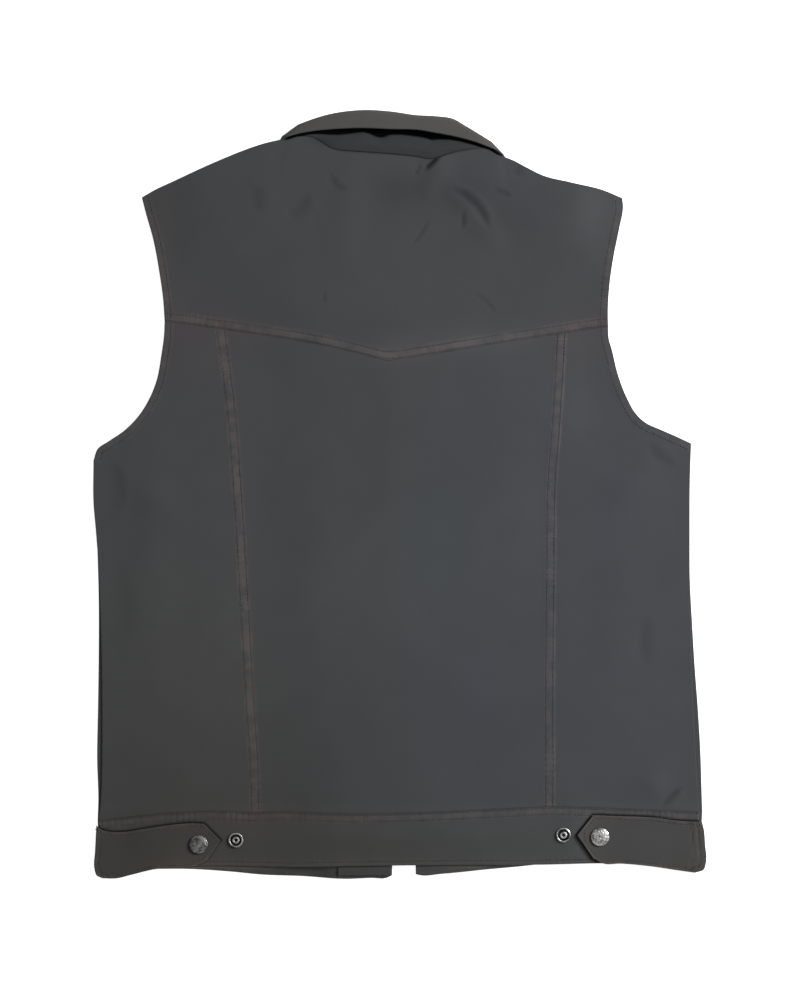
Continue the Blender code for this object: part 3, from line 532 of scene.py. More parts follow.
def blended(tree, share, one, other, blend="MIX"):
    """Two colours mixed by a share of the second, or multiplied."""
    return add_node(tree, "Mix", {0: share, 6: one, 7: other}, data_type="RGBA", blend_type=blend).outputs[2]


def bumped(tree, shader, height, strength, distance):
    """Relief on a surface: a height, the strength that it is lit with, and its full height in metres."""
    bump = add_node(tree, "Bump", {"Height": height, "Strength": strength, "Distance": distance}).outputs[0]
    tree.links.new(bump, shader.inputs["Normal"])


THREADS_PER_METRE = 1750.0
GRAIN_LEVELS = (-1.0, 1.0, 0.93, 1.07)
NAP_SCALE, NAP_DETAIL = 620.0, 3.0
CLOTH_BUMP, SHEEN_ROUGHNESS = (0.35, 0.00012), 0.45
# Mottling of the cloth: the noise's scale and detail, its range, and the levels that this becomes
Mottle = namedtuple("Mottle", "scale detail low high to_low to_high")
BLOTCHES = Mottle(34.0, 4.0, 0.3, 0.7, 0.97, 1.03)
DRIFT = Mottle(7.5, 2.0, 0.3, 0.7, 0.96, 1.04)
PATCHY_WEAR = Mottle(95.0, 4.0, 0.38, 0.62, 0.1, 1.0)


def charcoal_cloth(name, colour, worn_colour, roughness, gloss, sheen):
    """Smooth dyed cloth: a plain weave as the product of two sines along the cloth, a nap of fine noise,
    blotches of broader noise, the uneven fade of the dye with the painted light and shade, and a browner tone
    where the dye is rubbed off. Every factor of the colour is multiplied in."""
    made, tree, shader = new_material(name)
    on_cloth = add_node(tree, "SeparateXYZ", {0: add_node(tree, "UVMap", uv_map="cloth").outputs[0]})
    turns = [product(tree, on_cloth.outputs[axis], THREADS_PER_METRE * np.pi) for axis in ("X", "Y")]
    waves = [add_node(tree, "Math", {0: turn}, operation="SINE").outputs[0] for turn in turns]
    weave = product(tree, *waves)
    patchy, blotches, drift = (
        mapped(tree, noise(tree, kind.scale, kind.detail), kind.low, kind.high, kind.to_low, kind.to_high)
        for kind in (PATCHY_WEAR, BLOTCHES, DRIFT)
    )
    bare = product(tree, add_node(tree, "Attribute", attribute_name="wear").outputs["Fac"], patchy)
    dyed = blended(tree, bare, (*colour, 1.0), (*worn_colour, 1.0))
    # The uneven fading together with the painted light and shade of creases, seams, the collar and the tabs'
    # edges
    fade = add_node(tree, "Attribute", attribute_name="fading_and_painted_shading").outputs["Color"]
    strength = product(tree, product(tree, blotches, drift), mapped(tree, weave, *GRAIN_LEVELS))
    faded_and_shaded = blended(tree, 1.0, dyed, fade, "MULTIPLY")
    tree.links.new(blended(tree, 1.0, faded_and_shaded, strength, "MULTIPLY"), shader.inputs["Base Color"])
    nap = noise(tree, NAP_SCALE, NAP_DETAIL)
    surface = add_node(tree, "Math", {0: weave, 1: nap}, operation="ADD").outputs[0]
    bumped(tree, shader, surface, *CLOTH_BUMP)
    shader.inputs["Specular IOR Level"].default_value = gloss
    shader.inputs["Sheen Weight"].default_value = sheen
    shader.inputs["Sheen Roughness"].default_value = SHEEN_ROUGHNESS
    shader.inputs["Roughness"].default_value = roughness
    return made


THREAD_DARK, THREAD_LIGHT = (0.015, 0.013, 0.0125, 1.0), (0.044, 0.038, 0.036, 1.0)
THREAD_MOTTLE, THREAD_DETAIL = 260.0, 3.0
PLY_SCALE, PLY_BEND, PLY_BUMP = 900.0, 2.0, (0.4, 0.0001)
THREAD_ROUGHNESS = 0.7


def sewing_thread():
    """Dark spun thread, its colour varied by noise and its ply by fine bands."""
    made, tree, shader = new_material("sewing_thread")
    colours = blended(tree, noise(tree, THREAD_MOTTLE, THREAD_DETAIL), THREAD_DARK, THREAD_LIGHT)
    place = add_node(tree, "TexCoord").outputs["Object"]
    ply = add_node(tree, "TexWave", {"Vector": place, "Scale": PLY_SCALE, "Distortion": PLY_BEND}).outputs[1]
    bumped(tree, shader, ply, *PLY_BUMP)
    tree.links.new(colours, shader.inputs["Base Color"])
    shader.inputs["Roughness"].default_value = THREAD_ROUGHNESS
    return made


cloths = {}
cloths["charcoal_cloth"] = charcoal_cloth(
    "charcoal_cloth", colour=(0.0415, 0.0430, 0.0455), worn_colour=(0.074, 0.064, 0.063),
    roughness=0.86, gloss=0.25, sheen=0.12,
)
thread = sewing_thread()


def snap_strip(x):
    """1 along the fronts' edges, 0 past the strips that their snaps prop up."""
    from_edge = np.abs(x - FRONT_MIDDLE) - FRONT_EDGE_FROM_MIDDLE
    return 1.0 - ease((from_edge - SNAP_STRIP) / SNAP_SLOPE)


def neck_zone(x, y, start, slope):
    """1 round the neck, out to a start in units of its reach, and 0 past the slope after it."""
    reach = np.hypot((x - NECK_CENTRE[0]) / NECK_REACH[0], (y - NECK_CENTRE[1]) / NECK_REACH[1])
    return 1.0 - ease((reach - start) / slope)


def front_under(x, y):
    """Height of the fronts' outer side, which faces the floor: over the snaps and the collar's leaf."""
    return np.maximum(SNAP_LIFT * snap_strip(x), LEAF_LIFT * neck_zone(x, y, *LEAF_ZONE))


def collar_lines(rows):
    """The collar's sections on smooth curves through its table: neck seam, roll and leaf edge, then the turn,
    radius and gap, and the level direction from the neck seam to the roll."""
    table = [np.array([np.atleast_1d(row[k]) for row in COLLAR], float) for k in range(len(Roll._fields))]
    knots = steps_along(table[1]) + ROW_SPREAD * np.arange(len(COLLAR))
    at = np.linspace(0.0, knots[-1], rows + 1)
    base, roll, leaf, turn, radius, gap = (cubic(part, knots, at) for part in table)
    leaf[:, 2] = np.maximum(leaf[:, 2], DOUBLED / 2)
    outward = roll - (base + leaf) / 2
    outward[:, 2] = 0.0
    outward /= np.linalg.norm(outward, axis=1)[:, None]
    return base, roll, leaf, turn[:, 0], radius, gap, outward


neck_base, _, _, neck_turns, _, neck_gap, neck_outward = collar_lines(COLLAR_ROWS)
NECK_TUCK = 0.3
BACK_NECK_TURN, FRONT_NECK_TURN = -8, -40
neck_edge = neck_base[:, :2] - neck_outward[:, :2] * neck_gap
sewn_edge = neck_base[:, :2] + neck_outward[:, :2] * NECK_TUCK
back_neck = np.concatenate([[SHOULDER_LEFT[-1]], sewn_edge[neck_turns > BACK_NECK_TURN], [SHOULDER_RIGHT[0]]])
left_neck = neck_edge[(neck_turns < FRONT_NECK_TURN) & (neck_edge[:, 0] < 0)]
right_neck = neck_edge[(neck_turns < FRONT_NECK_TURN) & (neck_edge[:, 0] > 0)][::-1]

FRONT_COLUMNS, FRONT_LOW_ROWS, FRONT_EDGE_ROWS, FRONT_ROWS = 92, 104, 150, 176


def side_points(table, column):
    """A side edge from the waistband up to the armhole."""
    return [(getattr(row, column), row.y) for row in table][::-1]


def front_grid(table, low, high, shoulder, neck, waist, side):
    """Plan points of one front panel. The armhole is cut deeper than the back's and the neck runs along the
    collar, so neither shows past the back. side is -1 for the left front and 1 for the right."""
    armhole = graded(low[::-1] + high[1:], FRONT_ROWS - FRONT_LOW_ROWS, from_start=False)
    around = np.linspace(0.0, 1.0, len(armhole))
    deeper = FRONT_ARMHOLE_INSET * np.sin(np.pi * around) ** FRONT_ARMHOLE_ROUNDING
    armhole[:, 0] -= side * (FRONT_TUCK + deeper)
    outer = graded(side_points(table, "front"), FRONT_LOW_ROWS, from_end=False)
    outer = np.concatenate([outer[:-1], armhole])
    corner = np.array(shoulder[-1]) + FRONT_CORNER_SET_BACK * (side, 1)
    edge_low = np.array([side * FRONT_EDGE_FROM_MIDDLE + FRONT_MIDDLE, waist[-1][1]])
    edge_high = np.array([
        side * (FRONT_EDGE_FROM_MIDDLE + FRONT_EDGE_SPREAD) + FRONT_MIDDLE, neck[0][1] - FRONT_EDGE_BELOW_NECK
    ])
    edge = graded((edge_low, edge_high), FRONT_EDGE_ROWS, from_end=False)
    neck_line = np.concatenate([[edge_high], neck, [corner]])
    inner = joined(edge, graded(neck_line, FRONT_ROWS - FRONT_EDGE_ROWS, from_start=False))
    top = [tuple(armhole[-1])] + [(x, y - FRONT_TUCK) for x, y in shoulder[1:-1]] + [tuple(corner)]
    bottom = ((outer[0][0], outer[0][1]),) + waist[1:-1] + (tuple(edge_low),)
    top, bottom = graded(top, FRONT_COLUMNS), graded(bottom, FRONT_COLUMNS)
    return either_side(bottom, top, outer, inner, side)


front_left = front_grid(
    LEFT_SIDE, ARMHOLE_LEFT_LOW, ARMHOLE_LEFT_HIGH, SHOULDER_LEFT, left_neck,
    WAIST_LEFT + WAIST_CENTRE[1:4], -1
)
front_right = front_grid(
    RIGHT_SIDE, ARMHOLE_RIGHT_LOW, ARMHOLE_RIGHT_HIGH, SHOULDER_RIGHT[::-1], right_neck,
    WAIST_RIGHT[::-1] + WAIST_CENTRE[-2:-4:-1], 1
)
FRONT_EDGE_STITCHES, FRONT_EDGE_BAND, FRONT_EDGE_WEAR, EDGE_SPARSE = (5.5,), 6.0, 0.5, 10
for side_name, grid, edge, snap in (
    ("left", front_left, front_left[:FRONT_EDGE_ROWS:EDGE_SPARSE, -1], "cap"),
    ("right", front_right, front_right[:FRONT_EDGE_ROWS:EDGE_SPARSE, 0][::-1], "stud"),
):
    edge_seam = Seam(stretch(edge), band=FRONT_EDGE_BAND, rows=FRONT_EDGE_STITCHES, wear=FRONT_EDGE_WEAR)
    sewn_piece(
        "front_" + side_name, grid, front_under, CLOTH, [edge_seam], "front_panel_" + side_name,
        outside=-1.0,
    )

# Front waistbands
# Straight doubled bands under the fronts, stitched down along their upper edge. The left one shows a little
# below the back's hem.
BACK_HEM = (
    (-283.6, -355), (-262, -356), (-231, -352.2), (-193, -349.8), (-96, -350.4), (-50, -349.6), (-7, -349),
    (36, -348.6), (132, -348.4), (207, -347.4), (235, -349), (266, -352.4), (284, -353.4),
)
FRONT_HEM_LEFT = (
    (-283, -353), (-231, -352.6), (-200, -352.6), (-160, -355), (-128, -358),
    (-94, -359.2), (-48, -361.8), (-26, -360.9), (-12, -360.9), (-7, -358.6),
)
FRONT_HEM_RIGHT = (
    (15.4, -357.4), (19, -358.3), (40, -357.1), (79.5, -353.3), (112, -350.4), (138, -347.6), (200, -346.4),
    (283, -350),
)
SEWN_IN = 0.5
BAND_ROWS = 34
BAND_STITCHES, BAND_EDGE, BAND_SPARSE = (2.2,), 3.0, 6
# Painted light on the fronts along the back's hem: how much lighter, and how wide
HEM_LIGHT, HEM_LIGHT_WIDTH = 1.3, 2.0


def front_band(panel_grid, hem_points):
    """Plan points of a front waistband, under its panel's lower edge."""
    seam = panel_grid[0] + (0.0, SEWN_IN)
    hem_line = along(hem_points, share(seam))
    ends = [graded((hem_line[k], seam[k]), BAND_ROWS) for k in (0, -1)]
    return between(hem_line, seam, *ends)


def painted_light_by_hem(x, y):
    """1, and lighter with painted light in a bell along the back's hem, on the fronts."""
    away, _, _ = nearest(x, y, stretch(BACK_HEM))
    return 1.0 + HEM_LIGHT * np.exp(-((away / HEM_LIGHT_WIDTH) ** 2))


for side_name, panel_grid, hem_points in (
    ("left", front_left, FRONT_HEM_LEFT), ("right", front_right, FRONT_HEM_RIGHT)
):
    band = front_band(panel_grid, hem_points)
    seams = [
        Seam(stretch(band[-1, ::-BAND_SPARSE]), band=BAND_EDGE, rows=BAND_STITCHES, wear=0.7),
        Seam(stretch(band[0, ::BAND_SPARSE]), band=BAND_EDGE, rows=BAND_STITCHES, wear=0.5),
    ]
    sewn_piece(
        "front_band_" + side_name, band, front_under, DOUBLED, seams, "front_waistband_" + side_name,
        outside=-1.0, shade_at=painted_light_by_hem,
    )
    if side_name == "left":
        band_left = band

# Facing
# A strip of the same cloth sewn inside the left front edge, behind the snaps. Its free edge shows as a dark
# line in the hem.
FACING, LAYER_GAP = 1.2, 0.3
FACING_WIDTH, FACING_INSET = 50.0, 1.0
FACING_COLUMNS, FACING_SPARSE = 34, 12
BAND_START, BAND_SLOPE = -289.0, 10.0


def front_top(x, y):
    """Height of the fronts' inner side, over the doubled band at the waist."""
    band = ease((BAND_START - y) / BAND_SLOPE)
    return front_under(x, y) + CLOTH + (DOUBLED - CLOTH) * band


def facing_under(x, y):
    """Height of the facing's underside, just clear of the front's inner side."""
    return front_top(x, y) + LAYER_GAP


front_edge = joined(band_left[:, -1], front_left[1:FRONT_EDGE_ROWS + 1, -1]) - (FACING_INSET, 0.0)
free_edge = front_edge - (FACING_WIDTH, 0.0)
facing_rows = len(front_edge) - 1
free_edge, front_edge = (graded(line[::FACING_SPARSE], facing_rows) for line in (free_edge, front_edge))
facing_low, facing_high = (
    graded((free_edge[k], front_edge[k]), FACING_COLUMNS) for k in (0, -1)
)
sewn_piece(
    "facing", between(facing_low, facing_high, free_edge, front_edge), facing_under, FACING, [],
    "front_facing_left",
)

# Collar
# A doubled fall collar on a stand, rolled over at the back: its leaf lies above the stand there, swings round
# at the shoulders and lies under the fronts. The leaf is a little browner, and stands off over a deep hollow;
# the stand and the hollow are darkened with painted shade.
STAND_STEPS, TURN_STEPS, LEAF_STEPS = 48, 12, 18
HOLLOW_FALL, HOLLOW_END = 0.05, 0.86
HOLLOW_DEPTH, STAND_BULGE = 4.6, 1.4
HOLLOW_MIDDLE, HOLLOW_REACH = 10.0, 66.0
# Painted shade on the stand, deep in the hollow under the leaf's edge, and along the neck seam
STAND_SHADE, HOLLOW_SHADE, SEAM_SHADE, SEAM_SHADE_END = 0.55, 0.01, 0.36, 0.045
STAND_TINT = np.array([0.93, 1.0, 1.04])
HOLLOW_TURN, HOLLOW_TURN_RANGE = 60.0, 25.0
LIGHT_FROM = 0.25
# How far the dark hollow shows below the leaf's edge, at places from left to right
HOLLOW_SHOWN = (
    (-90, 1.2), (-78, 2.0), (-62, 3.4), (-50, 3.4), (-38, 2.8), (-31, 4.8), (-23, 8.0), (-17.5, 8.4),
    (-9, 5.4), (1.4, 5.2), (12.7, 6.4), (22, 6.8), (29.6, 7.6), (35.3, 6.0), (47.5, 4.0), (58, 3.2),
    (73, 3.0), (88, 2.4),
)
FLOOR = np.array([-1000.0, -1000.0, 0.0])


def collar_surface():
    """The collar's middle surface, and its painted shade: across each section the stand, a half turn and the
    leaf.
    Behind the neck the stand bulges and then falls into a hollow under the leaf's edge."""
    base, roll, leaf, turns, radius, _, outward = collar_lines(COLLAR_ROWS)
    turn = np.radians(turns)
    beside = np.sign(roll[:, :1]) * np.stack([outward[:, 1], -outward[:, 0], 0 * outward[:, 0]], axis=1)
    normal = np.cos(turn)[:, None] * beside + np.sin(turn)[:, None] * np.array([0.0, 0.0, 1.0])
    centre = roll - outward * radius
    near_stand, near_leaf = centre - normal * radius, centre + normal * radius
    width = np.linalg.norm((near_stand - base)[:, :2], axis=1)
    under_leaf = ((leaf - base)[:, :2] * outward[:, :2]).sum(axis=1) / width
    behind = np.exp(-(((roll[:, 0] - HOLLOW_MIDDLE) / HOLLOW_REACH) ** 6))
    behind *= ease((turns - HOLLOW_TURN) / HOLLOW_TURN_RANGE)
    shown = np.array(HOLLOW_SHOWN)
    starts = under_leaf - np.interp(leaf[:, 0], shown[:, 0], shown[:, 1]) / width - HOLLOW_FALL / 2
    columns, shades = [], []
    for s in np.linspace(0.0, 1.0, STAND_STEPS, endpoint=False):
        point = base + (near_stand - base) * s
        fall = ease((s - starts) / HOLLOW_FALL) * (1.0 - ease((s - HOLLOW_END) / (1.0 - HOLLOW_END)))
        bulge = np.sin(np.pi * np.clip(s / starts, 0.0, 1.0)) ** 2
        point[:, 2] += behind * (STAND_BULGE * bulge - HOLLOW_DEPTH * fall)
        columns.append(point)
        dark = ease((s - starts) / HOLLOW_FALL)
        at_seam = 1.0 - SEAM_SHADE * (s < SEAM_SHADE_END)
        shades.append((STAND_SHADE + (HOLLOW_SHADE - STAND_SHADE) * dark) * at_seam)
    for step in range(TURN_STEPS + 1):
        angle = np.pi * step / TURN_STEPS
        columns.append(centre - normal * radius * np.cos(angle) + outward * radius * np.sin(angle))
        light = ease(step / (LIGHT_FROM * TURN_STEPS))
        shades.append(np.ones(len(roll)) * (HOLLOW_SHADE + (1.0 - HOLLOW_SHADE) * light))
    for step in range(1, LEAF_STEPS + 1):
        columns.append(near_leaf + (leaf - near_leaf) * step / LEAF_STEPS)
        shades.append(np.ones(len(roll)))
    shades = np.stack(shades, axis=1)[..., None] * np.ones(4)
    shades[:, :STAND_STEPS, :3] *= STAND_TINT
    return np.stack(columns, axis=1), shades


middle_surface, collar_shade = collar_surface()
normals = np.cross(np.gradient(middle_surface, axis=1), np.gradient(middle_surface, axis=0))
normals /= np.linalg.norm(normals, axis=2)[..., None]
thickness = normals * DOUBLED / 2 * turned_edge(middle_surface, DOUBLED)[..., None]
collar_sides = [np.maximum(middle_surface + side * thickness, FLOOR) for side in (-1, 1)]
across_collar = np.linalg.norm(np.diff(middle_surface, axis=1), axis=2)
along_collar = np.linalg.norm(np.diff(middle_surface, axis=0), axis=2)
collar_flat = np.dstack([
    np.pad(np.cumsum(along_collar, axis=0), ((1, 0), (0, 0)))[:, STAND_STEPS:STAND_STEPS + 1]
    + np.zeros(middle_surface.shape[:2]),
    np.pad(np.cumsum(across_collar, axis=1), ((0, 0), (1, 0))),
])
ROLL_WEAR, ROLL_WEAR_STEPS = 0.35, 9.0
from_roll = np.arange(middle_surface.shape[1]) - STAND_STEPS - TURN_STEPS / 2
collar_wear = ROLL_WEAR * np.exp(-((from_roll / ROLL_WEAR_STEPS) ** 2))
collar_wear = np.broadcast_to(collar_wear, middle_surface.shape[:2])
# The collar's cloth is a little browner than the body's, and lighter: painted light where the leaf faces the
# lamp, and painted sheen, since it has almost no gloss and no sheen
cloths["collar_cloth"] = charcoal_cloth(
    "collar_cloth", colour=(0.067, 0.0655, 0.0645), worn_colour=(0.077, 0.071, 0.067),
    roughness=0.84, gloss=0.04, sheen=0.0,
)
collar = shell(
    "collar_cloth", *collar_sides, collar_flat, collar_wear, (collar_shade, np.ones_like(collar_shade)),
    cloths["collar_cloth"], "collar_cloth"
)
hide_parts("collar")

# Back yoke
# The shaped piece over the shoulders, lapped over the back panels in a shallow V and stitched twice along its
# lower edge. It shows the softest creases, below the collar.
Fold = namedtuple("Fold", "x y angle run width height")
Crease = namedtuple("Crease", "path width depth lip dark")
BACK_STRIP, BACK_SLOPE = 60.0, 85.0
FACING_RAMP = 152.0
STAND_SPACE, STAND_ZONE = 1.4, (0.75, 0.35)
LOFT = 0.8
SIDE_LEFT, SIDE_RIGHT = -281.0, 275.0
ROOM_FROM_SIDE, ROOM_FROM_SHOULDER = 55.0, 45.0
HEM_HEIGHT, ROOM_FROM_HEM = -348.0, 30.0

# Soft ridges as the cloth lies: middle, direction, half length, half width, height
FOLDS = (
    Fold(66, 268, -52, 42, 11, 1.5),
    Fold(-52, 262, 80, 48, 16, 0.9),
    Fold(34, 300, 60, 22, 10, 1.6),
    Fold(150, 240, -28, 60, 22, 1.1),
    Fold(-170, 250, 30, 60, 24, 1.0),
    Fold(-11, 60, 90, 70, 14, 0.5),
    Fold(206, -90, 84, 110, 20, 0.8),
    Fold(252, -284, -48, 26, 12, 2.0),
    Fold(-236, -60, 92, 120, 22, 0.9),
    Fold(236, 20, 35, 50, 16, 1.2),
    Fold(-250, 10, -40, 44, 16, 1.1),
    Fold(60, -180, 76, 90, 26, 0.3),
    Fold(-80, -120, 98, 100, 28, 0.3),
    Fold(-215, -286, 20, 40, 12, 1.0),
)
# Creases: the path of each, its half width, its depth, the height of the lip on its left, and how much
# painted shade darkens its bottom
CREASES = (
    Crease(((45, 289), (63, 280), (76, 266), (85, 247)), 3.4, 1.5, 0.5, 0.36),
    Crease(((60, 268), (59.5, 248)), 1.8, 0.8, 0.3, 0.28),
    Crease(((28.5, 262), (23, 249.5), (11, 233)), 1.5, 0.5, 0.2, 0.22),
    Crease(((38.5, 324), (32.4, 313.6), (28.6, 310), (23, 302)), 2.0, 1.6, 0.6, 0.97),
    Crease(((20, 312), (15.5, 299)), 1.2, 0.6, 0.2, 0.35),
    Crease(((-70.5, 194), (-71, 178)), 1.2, 0.4, 0.1, 0.20),
    Crease(((-84, 286), (-98, 266), (-110, 260)), 5.5, 0.7, 0.3, 0.12),
    Crease(((-66, 303), (-60, 290), (-47, 286)), 3.6, 0.6, 0.3, 0.14),
    Crease(((-136, 292), (-134, 262)), 6.0, 0.5, 0.2, 0.12),
    Crease(((114, 313), (111, 298)), 3.6, 0.8, 0.3, 0.20),
    Crease(((88, 287), (106, 280)), 2.4, 0.6, 0.2, 0.22),
    Crease(((66, 191), (80, 182), (92, 168)), 2.0, 0.4, 0.2, 0.08),
    Crease(((268, -274), (256, -284), (246, -296)), 2.6, 1.5, 0.7, 0.30),
    Crease(((232, -110), (229, -140), (233, -165)), 6.0, 0.5, 0.2, 0.10),
    Crease(((-268, -60), (-262, -110), (-268, -160)), 8.0, 0.4, 0.2, 0.06),
    Crease(((-274, 34), (-266, 6), (-272, -22)), 5.0, 0.6, 0.3, 0.10),
    Crease(((232, 50), (244, 34), (262, 26)), 5.0, 0.7, 0.3, 0.10),
)
CREASE_FADE, CREASE_TIP, CREASE_CELLS = 0.3, 0.4, 16
LIP_PLACE = 2.0
# Stand-in points far above the neck, between the shoulder seams
ABOVE_NECK = ((-90, 400), (80, 400))


def shoulder_height(x):
    """Y of the shoulder seams, and far above them over the neck."""
    seams = np.array(SHOULDER_LEFT + ABOVE_NECK + SHOULDER_RIGHT, float)
    return np.interp(x, seams[:, 0], seams[:, 1])


def edge_room(x, y):
    """0 at the hem and at the side and shoulder seams, where front and back meet, and 1 in the open cloth."""
    side = np.minimum(x - SIDE_LEFT, SIDE_RIGHT - x)
    ends = ease((shoulder_height(x) - y) / ROOM_FROM_SHOULDER) * ease((y - HEM_HEIGHT) / ROOM_FROM_HEM)
    return ease(side / ROOM_FROM_SIDE) * ends


def folds(x, y):
    """Sum of the soft ridges: a bell across each, fading along it."""
    height = np.zeros_like(x, dtype=float)
    for fold in FOLDS:
        turn = np.radians(fold.angle)
        run = (x - fold.x) * np.cos(turn) + (y - fold.y) * np.sin(turn)
        off = (y - fold.y) * np.cos(turn) - (x - fold.x) * np.sin(turn)
        height += fold.height * np.exp(-((off / fold.width) ** 2) - (run / fold.run) ** 4)
    return height


def creased(x, y):
    """Height and painted shade of the creases: a bell-shaped trough along each path, dying away and narrowing
    at its ends, with painted shade at its bottom, and a lip on its left."""
    height, shade = np.zeros_like(x, dtype=float), np.ones_like(x, dtype=float)
    for crease in CREASES:
        line = stretch(crease.path, CREASE_CELLS)
        away, place, side = nearest(x, y, line)
        end = steps_along(line)[-1]
        fade = ease(place / (CREASE_FADE * end)) * ease((end - place) / (CREASE_FADE * end))
        off = side * away / (crease.width * (CREASE_TIP + (1.0 - CREASE_TIP) * fade))
        height += fade * (crease.lip * np.exp(-((off - LIP_PLACE) ** 2)) - crease.depth * np.exp(-(off**2)))
        shade *= 1.0 - crease.dark * fade * np.exp(-(off**2))
    return height, shade


def crease_shade(x, y):
    """The creases' painted shade, without their height."""
    return creased(x, y)[1]


def back_under(x, y):
    """Height of the back's inner side: over the fronts, the facing and the collar's stand, with its folds."""
    from_middle = x - FRONT_MIDDLE
    over_snaps = SNAP_LIFT * (1.0 - ease((np.abs(from_middle) - BACK_STRIP) / BACK_SLOPE))
    facing = ease((from_middle + FACING_RAMP) / BACK_SLOPE) * (1.0 - ease(from_middle / BACK_SLOPE))
    stand = STAND_SPACE * neck_zone(x, y, *STAND_ZONE)
    band = (DOUBLED - CLOTH) * ease((BAND_START - y) / BAND_SLOPE)
    lies_on = np.maximum(over_snaps, LEAF_LIFT * neck_zone(x, y, *LEAF_ZONE)) + CLOTH + band
    lies_on += np.maximum((FACING + LAYER_GAP) * facing, stand)
    loose = LAYER_GAP + edge_room(x, y) * (LOFT + folds(x, y)) + creased(x, y)[0]
    return lies_on + np.maximum(loose, LAYER_GAP)


YOKE_LEFT = ((-221, 163), (-196, 159.8), (-173, 156.6))
YOKE_CENTRE_LEFT = ((-173, 156.6), (-141, 152), (-63.5, 138.8), (-11, 125.6))
YOKE_CENTRE_RIGHT = ((-11, 125.6), (40, 133.6), (94.6, 142.6), (157.6, 152.4))
YOKE_RIGHT = ((157.6, 152.4), (178, 155.6), (196.4, 158))
YOKE_ROWS, YOKE_PART_CELLS, NECK_SPARSE = 124, 24, 4
YOKE_CELLS = (32, 84, 86, 30)
SHOULDER_CELLS = (82, 70)
YOKE_STITCHES, YOKE_BAND = (1.4, 7.7), 8.6
ARMHOLE_STITCHES, ARMHOLE_BAND = (6.4,), 7.0


def armhole_seam(points):
    """The turned edge of an armhole, through some of its points, stitched down once."""
    return Seam(
        stretch(points), band=ARMHOLE_BAND, lift=0.2, rows=ARMHOLE_STITCHES, wear=0.4, groove=0.3, pull=0.3
    )


yoke_low = joined(
    graded(YOKE_LEFT, YOKE_CELLS[0], from_end=False),
    stretch(YOKE_CENTRE_LEFT, YOKE_CELLS[1]),
    stretch(YOKE_CENTRE_RIGHT, YOKE_CELLS[2]),
    graded(YOKE_RIGHT, YOKE_CELLS[3], from_start=False),
)
yoke_high = joined(
    graded(SHOULDER_LEFT, SHOULDER_CELLS[0], from_end=False),
    stretch(back_neck[::NECK_SPARSE], sum(YOKE_CELLS) - sum(SHOULDER_CELLS)),
    graded(SHOULDER_RIGHT, SHOULDER_CELLS[1], from_start=False),
)
yoke_grid = between(
    yoke_low,
    yoke_high,
    graded(ARMHOLE_LEFT_HIGH, YOKE_ROWS),
    graded(ARMHOLE_RIGHT_HIGH, YOKE_ROWS),
)
yoke_parts = (YOKE_LEFT, YOKE_CENTRE_LEFT, YOKE_CENTRE_RIGHT, YOKE_RIGHT)
yoke_line = joined(*(stretch(part, YOKE_PART_CELLS) for part in yoke_parts))
yoke_seams = [
    Seam(yoke_line, band=YOKE_BAND, lift=0.4, rows=YOKE_STITCHES, wear=0.6, groove=0.3),
    armhole_seam(ARMHOLE_LEFT_HIGH[::-1]),
    armhole_seam(ARMHOLE_RIGHT_HIGH),
    Seam(stretch(back_neck[::-NECK_SPARSE]), band=1.5, groove=0.4),
]
sewn_piece(
    "yoke", yoke_grid, back_under, CLOTH, yoke_seams, "back_yoke",
    shade_at=crease_shade,
)

# Back panels
# A wide middle panel and two side panels. The middle one laps over the others in flat-felled seams, sewn down
# with two rows of stitches, where the dye has rubbed to brown.
LONG_SEAM_LEFT = (
    (-173, 156.6), (-162.3, 72), (-156.7, -3), (-149.1, -129), (-145.4, -194), (-140.7, -269),
    (-140.2, -299.7),
)
LONG_SEAM_RIGHT = (
    (157.6, 152.4), (152.9, 72), (148.2, 7), (147.3, -71), (146.3, -151), (146.3, -237), (146.3, -293.6),
)
MIDDLE_HALF, MIDDLE_ROWS, WAIST_PART_CELLS = 64, 300, 30
SIDE_COLUMNS, SIDE_ROWS_LOW, SIDE_ROWS_HIGH = 54, 190, 80
LONG_STITCHES, LONG_BAND = (1.6, 8.3), 9.0


def tucked(grid, left=0.0, right=0.0, bottom=0.0, top=0.0):
    """The grid with one more row or column past some edges, each that far under the piece sewn over it."""
    if bottom:
        grid = np.concatenate([grid[:1] - (0.0, bottom), grid])
    if top:
        grid = np.concatenate([grid, grid[-1:] + (0.0, top)])
    if left:
        grid = np.concatenate([grid[:, :1] - (left, 0.0), grid], axis=1)
    if right:
        grid = np.concatenate([grid, grid[:, -1:] + (right, 0.0)], axis=1)
    return grid


middle_low = graded(WAIST_CENTRE, 2 * MIDDLE_HALF)
middle_high = joined(
    graded(YOKE_CENTRE_LEFT, MIDDLE_HALF, from_end=False),
    graded(YOKE_CENTRE_RIGHT, MIDDLE_HALF, from_start=False),
)
middle_sides = [graded(line[::-1], MIDDLE_ROWS) for line in (LONG_SEAM_LEFT, LONG_SEAM_RIGHT)]
middle_grid = tucked(between(middle_low, middle_high, *middle_sides), bottom=SEWN_IN, top=SEWN_IN)
long_left, long_right = stretch(LONG_SEAM_LEFT), stretch(LONG_SEAM_RIGHT[::-1])
waist_line = joined(*(stretch(part, WAIST_PART_CELLS) for part in (WAIST_LEFT, WAIST_CENTRE, WAIST_RIGHT)))
# Where the yoke and the waistband meet the panels
shared_seams = [Seam(yoke_line, wear=0.4, groove=0.2), Seam(waist_line, wear=0.3, groove=0.4)]
middle_seams = [
    Seam(long_left, band=LONG_BAND, lift=0.22, rows=LONG_STITCHES, wear=0.7, groove=-0.35, pull=0.5),
    Seam(long_right, band=LONG_BAND, lift=0.22, rows=LONG_STITCHES, wear=0.55, groove=-0.1, pull=0.5),
]
sewn_piece(
    "middle_panel", middle_grid, back_under, CLOTH, middle_seams + shared_seams, "back_panel_centre",
    shade_at=crease_shade,
)


